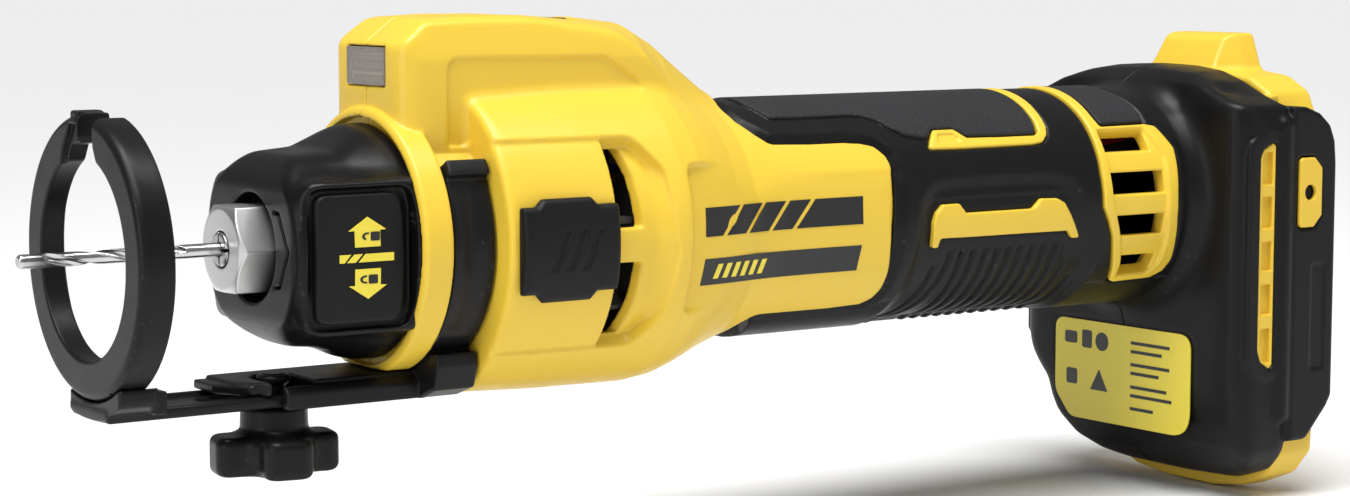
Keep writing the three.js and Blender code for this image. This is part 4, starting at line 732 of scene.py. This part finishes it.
plate("rating_label", fillet([(-26.2, -64.6), (20.6, -64.6), (26.9, -57.6), (26.9, -36.8), (-26.2, -36.8)], [7, 5, 6, 3.5, 4.5], 8)[::-1], lambda u, v, w: (-22.15 - w, u, v), 0.42, "housing", "label_yellow", replaces=("rating_plate",))
pl3 = lambda u, v, w: (-22.58 - w, u, v)
k = 0
for u, v, w_, h_ in ((20.5, -42.0, 5.0, 3.4), (14.0, -42.0, 4.0, 5.0), (20.0, -53.0, 4.4, 4.4)):
    plate("label_mark_%d" % k, fillet(rect(u - w_ / 2, u + w_ / 2, v - h_ / 2, v + h_ / 2), 0.8, 3), pl3, 0.05, "housing", "label_black"); k += 1
ringp = [(8.0 + 2.6 * math.cos(t), -42.2 + 2.6 * math.sin(t)) for t in np.linspace(0, 2 * math.pi, 24, endpoint=False)]
plate("label_mark_%d" % k, ringp, pl3, 0.05, "housing", "label_black"); k += 1
plate("label_mark_%d" % k, [(12.5, -56), (5.5, -56), (9.0, -50)], pl3, 0.05, "housing", "label_black"); k += 1
for i, (v, L) in enumerate(((-41.2, 15), (-43.6, 12), (-47.2, 15), (-49.6, 11), (-53.4, 14), (-55.8, 16), (-59.4, 9))):
    plate("label_line_%d" % i, rect(-3.5 - L, -3.5, v - 0.45, v + 0.45), pl3, 0.05, "housing", "label_black")


def on_panel(name, pts, mat, lift=0.12, thick=0.25):
    """Thin inlay following the tilted panel floor."""
    for side, tag in ((-1, "left"), (1, "right")):
        bm = bmesh.new()
        xs = [p[0] for p in pts]
        me_pts = []
        for lv in (lift, lift - thick):
            me_pts.append([bm.verts.new((x, side * (float(curve(np.array([x]), PAN, 1.5)[0]) - z * z / 150.0 + lv), z)) for x, z in pts])
        a, b = me_pts
        bm.faces.new(a); bm.faces.new(b[::-1])
        for i in range(len(a)): bm.faces.new((a[i - 1], a[i], b[i], b[i - 1]))
        bmesh.ops.recalc_face_normals(bm, faces=bm.faces)
        bmesh.ops.triangulate(bm, faces=[q for q in bm.faces if len(q.verts) > 4])
        me = bpy.data.meshes.new(name + tag); bm.to_mesh(me); bm.free(); me.transform(Matrix.Scale(0.001, 4))
        o = bpy.data.objects.new(name + "_" + tag, me); bpy.context.scene.collection.objects.link(o)
        me.materials.append(M[mat]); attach(o, "housing")


def strip_pts(x0, x1, z0, z1, lean=0.0, n=12):
    return [(x0 + (x1 - x0) * i / n - lean / 2, z0) for i in range(n + 1)] + [(x1 - (x1 - x0) * i / n + lean / 2, z1) for i in range(n + 1)]


on_panel("barrel_band", strip_pts(-187.0, -136.4, -12.0, -5.8, 1.2, 24), "label_black")
for i in range(6):
    on_panel("band_dash_%d" % i, strip_pts(-183 + i * 3.0, -181.4 + i * 3.0, -10.6, -7.2, 1.6, 2), "label_yellow", lift=0.2, thick=0.1)
# spiral bit pictogram in the panel
for i, (a, b, l0, l1) in enumerate(((-186.4, -178.0, 0, 1), (-176.6, -170.2, 1, 1), (-168.8, -162.4, 1, 1), (-161.0, -154.6, 1, 1), (-153.2, -135.6, 1, 0))):
    z0, z1, s = -0.6, 6.2, 3.0
    p = [(a - s * l0, z0)] + [(a - s * l0 + (b - a - (0 if l1 == l0 else 0)) * j / 6, z0) for j in range(1, 6)]
    p = [(a + (b - a) * j / 8 - s * (l0 * (1 - j / 8) + l1 * j / 8), z0) for j in range(9)] + [(b - (b - a) * j / 8 + s * (l1 * (1 - j / 8) + l0 * j / 8), z1) for j in range(9)]
    on_panel("bit_sign_%d" % i, p, "label_black")

# ------------------------------------------------------------- stage and light
fl = bpy.data.meshes.new("floor")
fl.from_pydata([(-60, -60, 0), (60, -60, 0), (60, 60, 0), (-60, 60, 0)], [], [(0, 1, 2, 3)])
flo = bpy.data.objects.new("floor", fl); bpy.context.scene.collection.objects.link(flo)
flo.location.z = cad_box[0][2] - 0.0008
fm = Nodes("floor_paper"); fm.b.inputs["Roughness"].default_value = 0.9; fm.b.inputs["Base Color"].default_value = (0.84, 0.84, 0.84, 1)
fl.materials.append(fm.m)
w = bpy.data.worlds.new("studio"); bpy.context.scene.world = w; w.use_nodes = True
w.node_tree.nodes["Background"].inputs["Color"].default_value = (1, 1, 1, 1)
w.node_tree.nodes["Background"].inputs["Strength"].default_value = 0.26


def area(name, loc, target, size, power, size_y=None):
    l = bpy.data.lights.new(name, "AREA"); l.energy = power; l.shape = "RECTANGLE"; l.size = size; l.size_y = size_y or size
    o = bpy.data.objects.new(name, l); bpy.context.scene.collection.objects.link(o)
    o.location = loc
    o.rotation_euler = (Vector(target) - Vector(loc)).to_track_quat("-Z", "Y").to_euler()
    return o


mid = (-0.15, 0, 0)
sun = bpy.data.lights.new("sky_soft", "SUN"); sun.energy = 2.7; sun.angle = math.radians(40)
so = bpy.data.objects.new("sky_soft", sun); bpy.context.scene.collection.objects.link(so)
so.rotation_euler = (Vector(mid) - Vector((-0.62, -0.38, 1.5))).to_track_quat("-Z", "Y").to_euler()
area("top_box", (-0.20, -0.10, 0.80), mid, 0.9, 4.4, 0.09)
area("front_left", (-1.1, -0.25, 0.30), mid, 0.22, 1.9, 0.7)
area("side_strip", (0.45, -0.85, 0.48), mid, 0.10, 0.6, 0.9)

cam = bpy.data.cameras.new("camera"); co = bpy.data.objects.new("camera", cam)
bpy.context.scene.collection.objects.link(co); bpy.context.scene.camera = co
cam.sensor_width = 36; cam.lens = 76.57; cam.clip_start = 0.01
az, pit = math.radians(34.66), math.radians(5.79)
fwd = Vector((math.sin(az) * math.cos(pit), math.cos(az) * math.cos(pit), -math.sin(pit)))
right = Vector((math.cos(az), -math.sin(az), 0)); up = right.cross(fwd)
co.matrix_world = Matrix(((right.x, up.x, -fwd.x, -0.57003), (right.y, up.y, -fwd.y, -0.575237), (right.z, up.z, -fwd.z, 0.064213), (0, 0, 0, 1)))
vs = bpy.context.scene.view_settings
vs.view_transform = "Standard"; vs.look = "None"; vs.exposure = 0.0; vs.gamma = 1.0
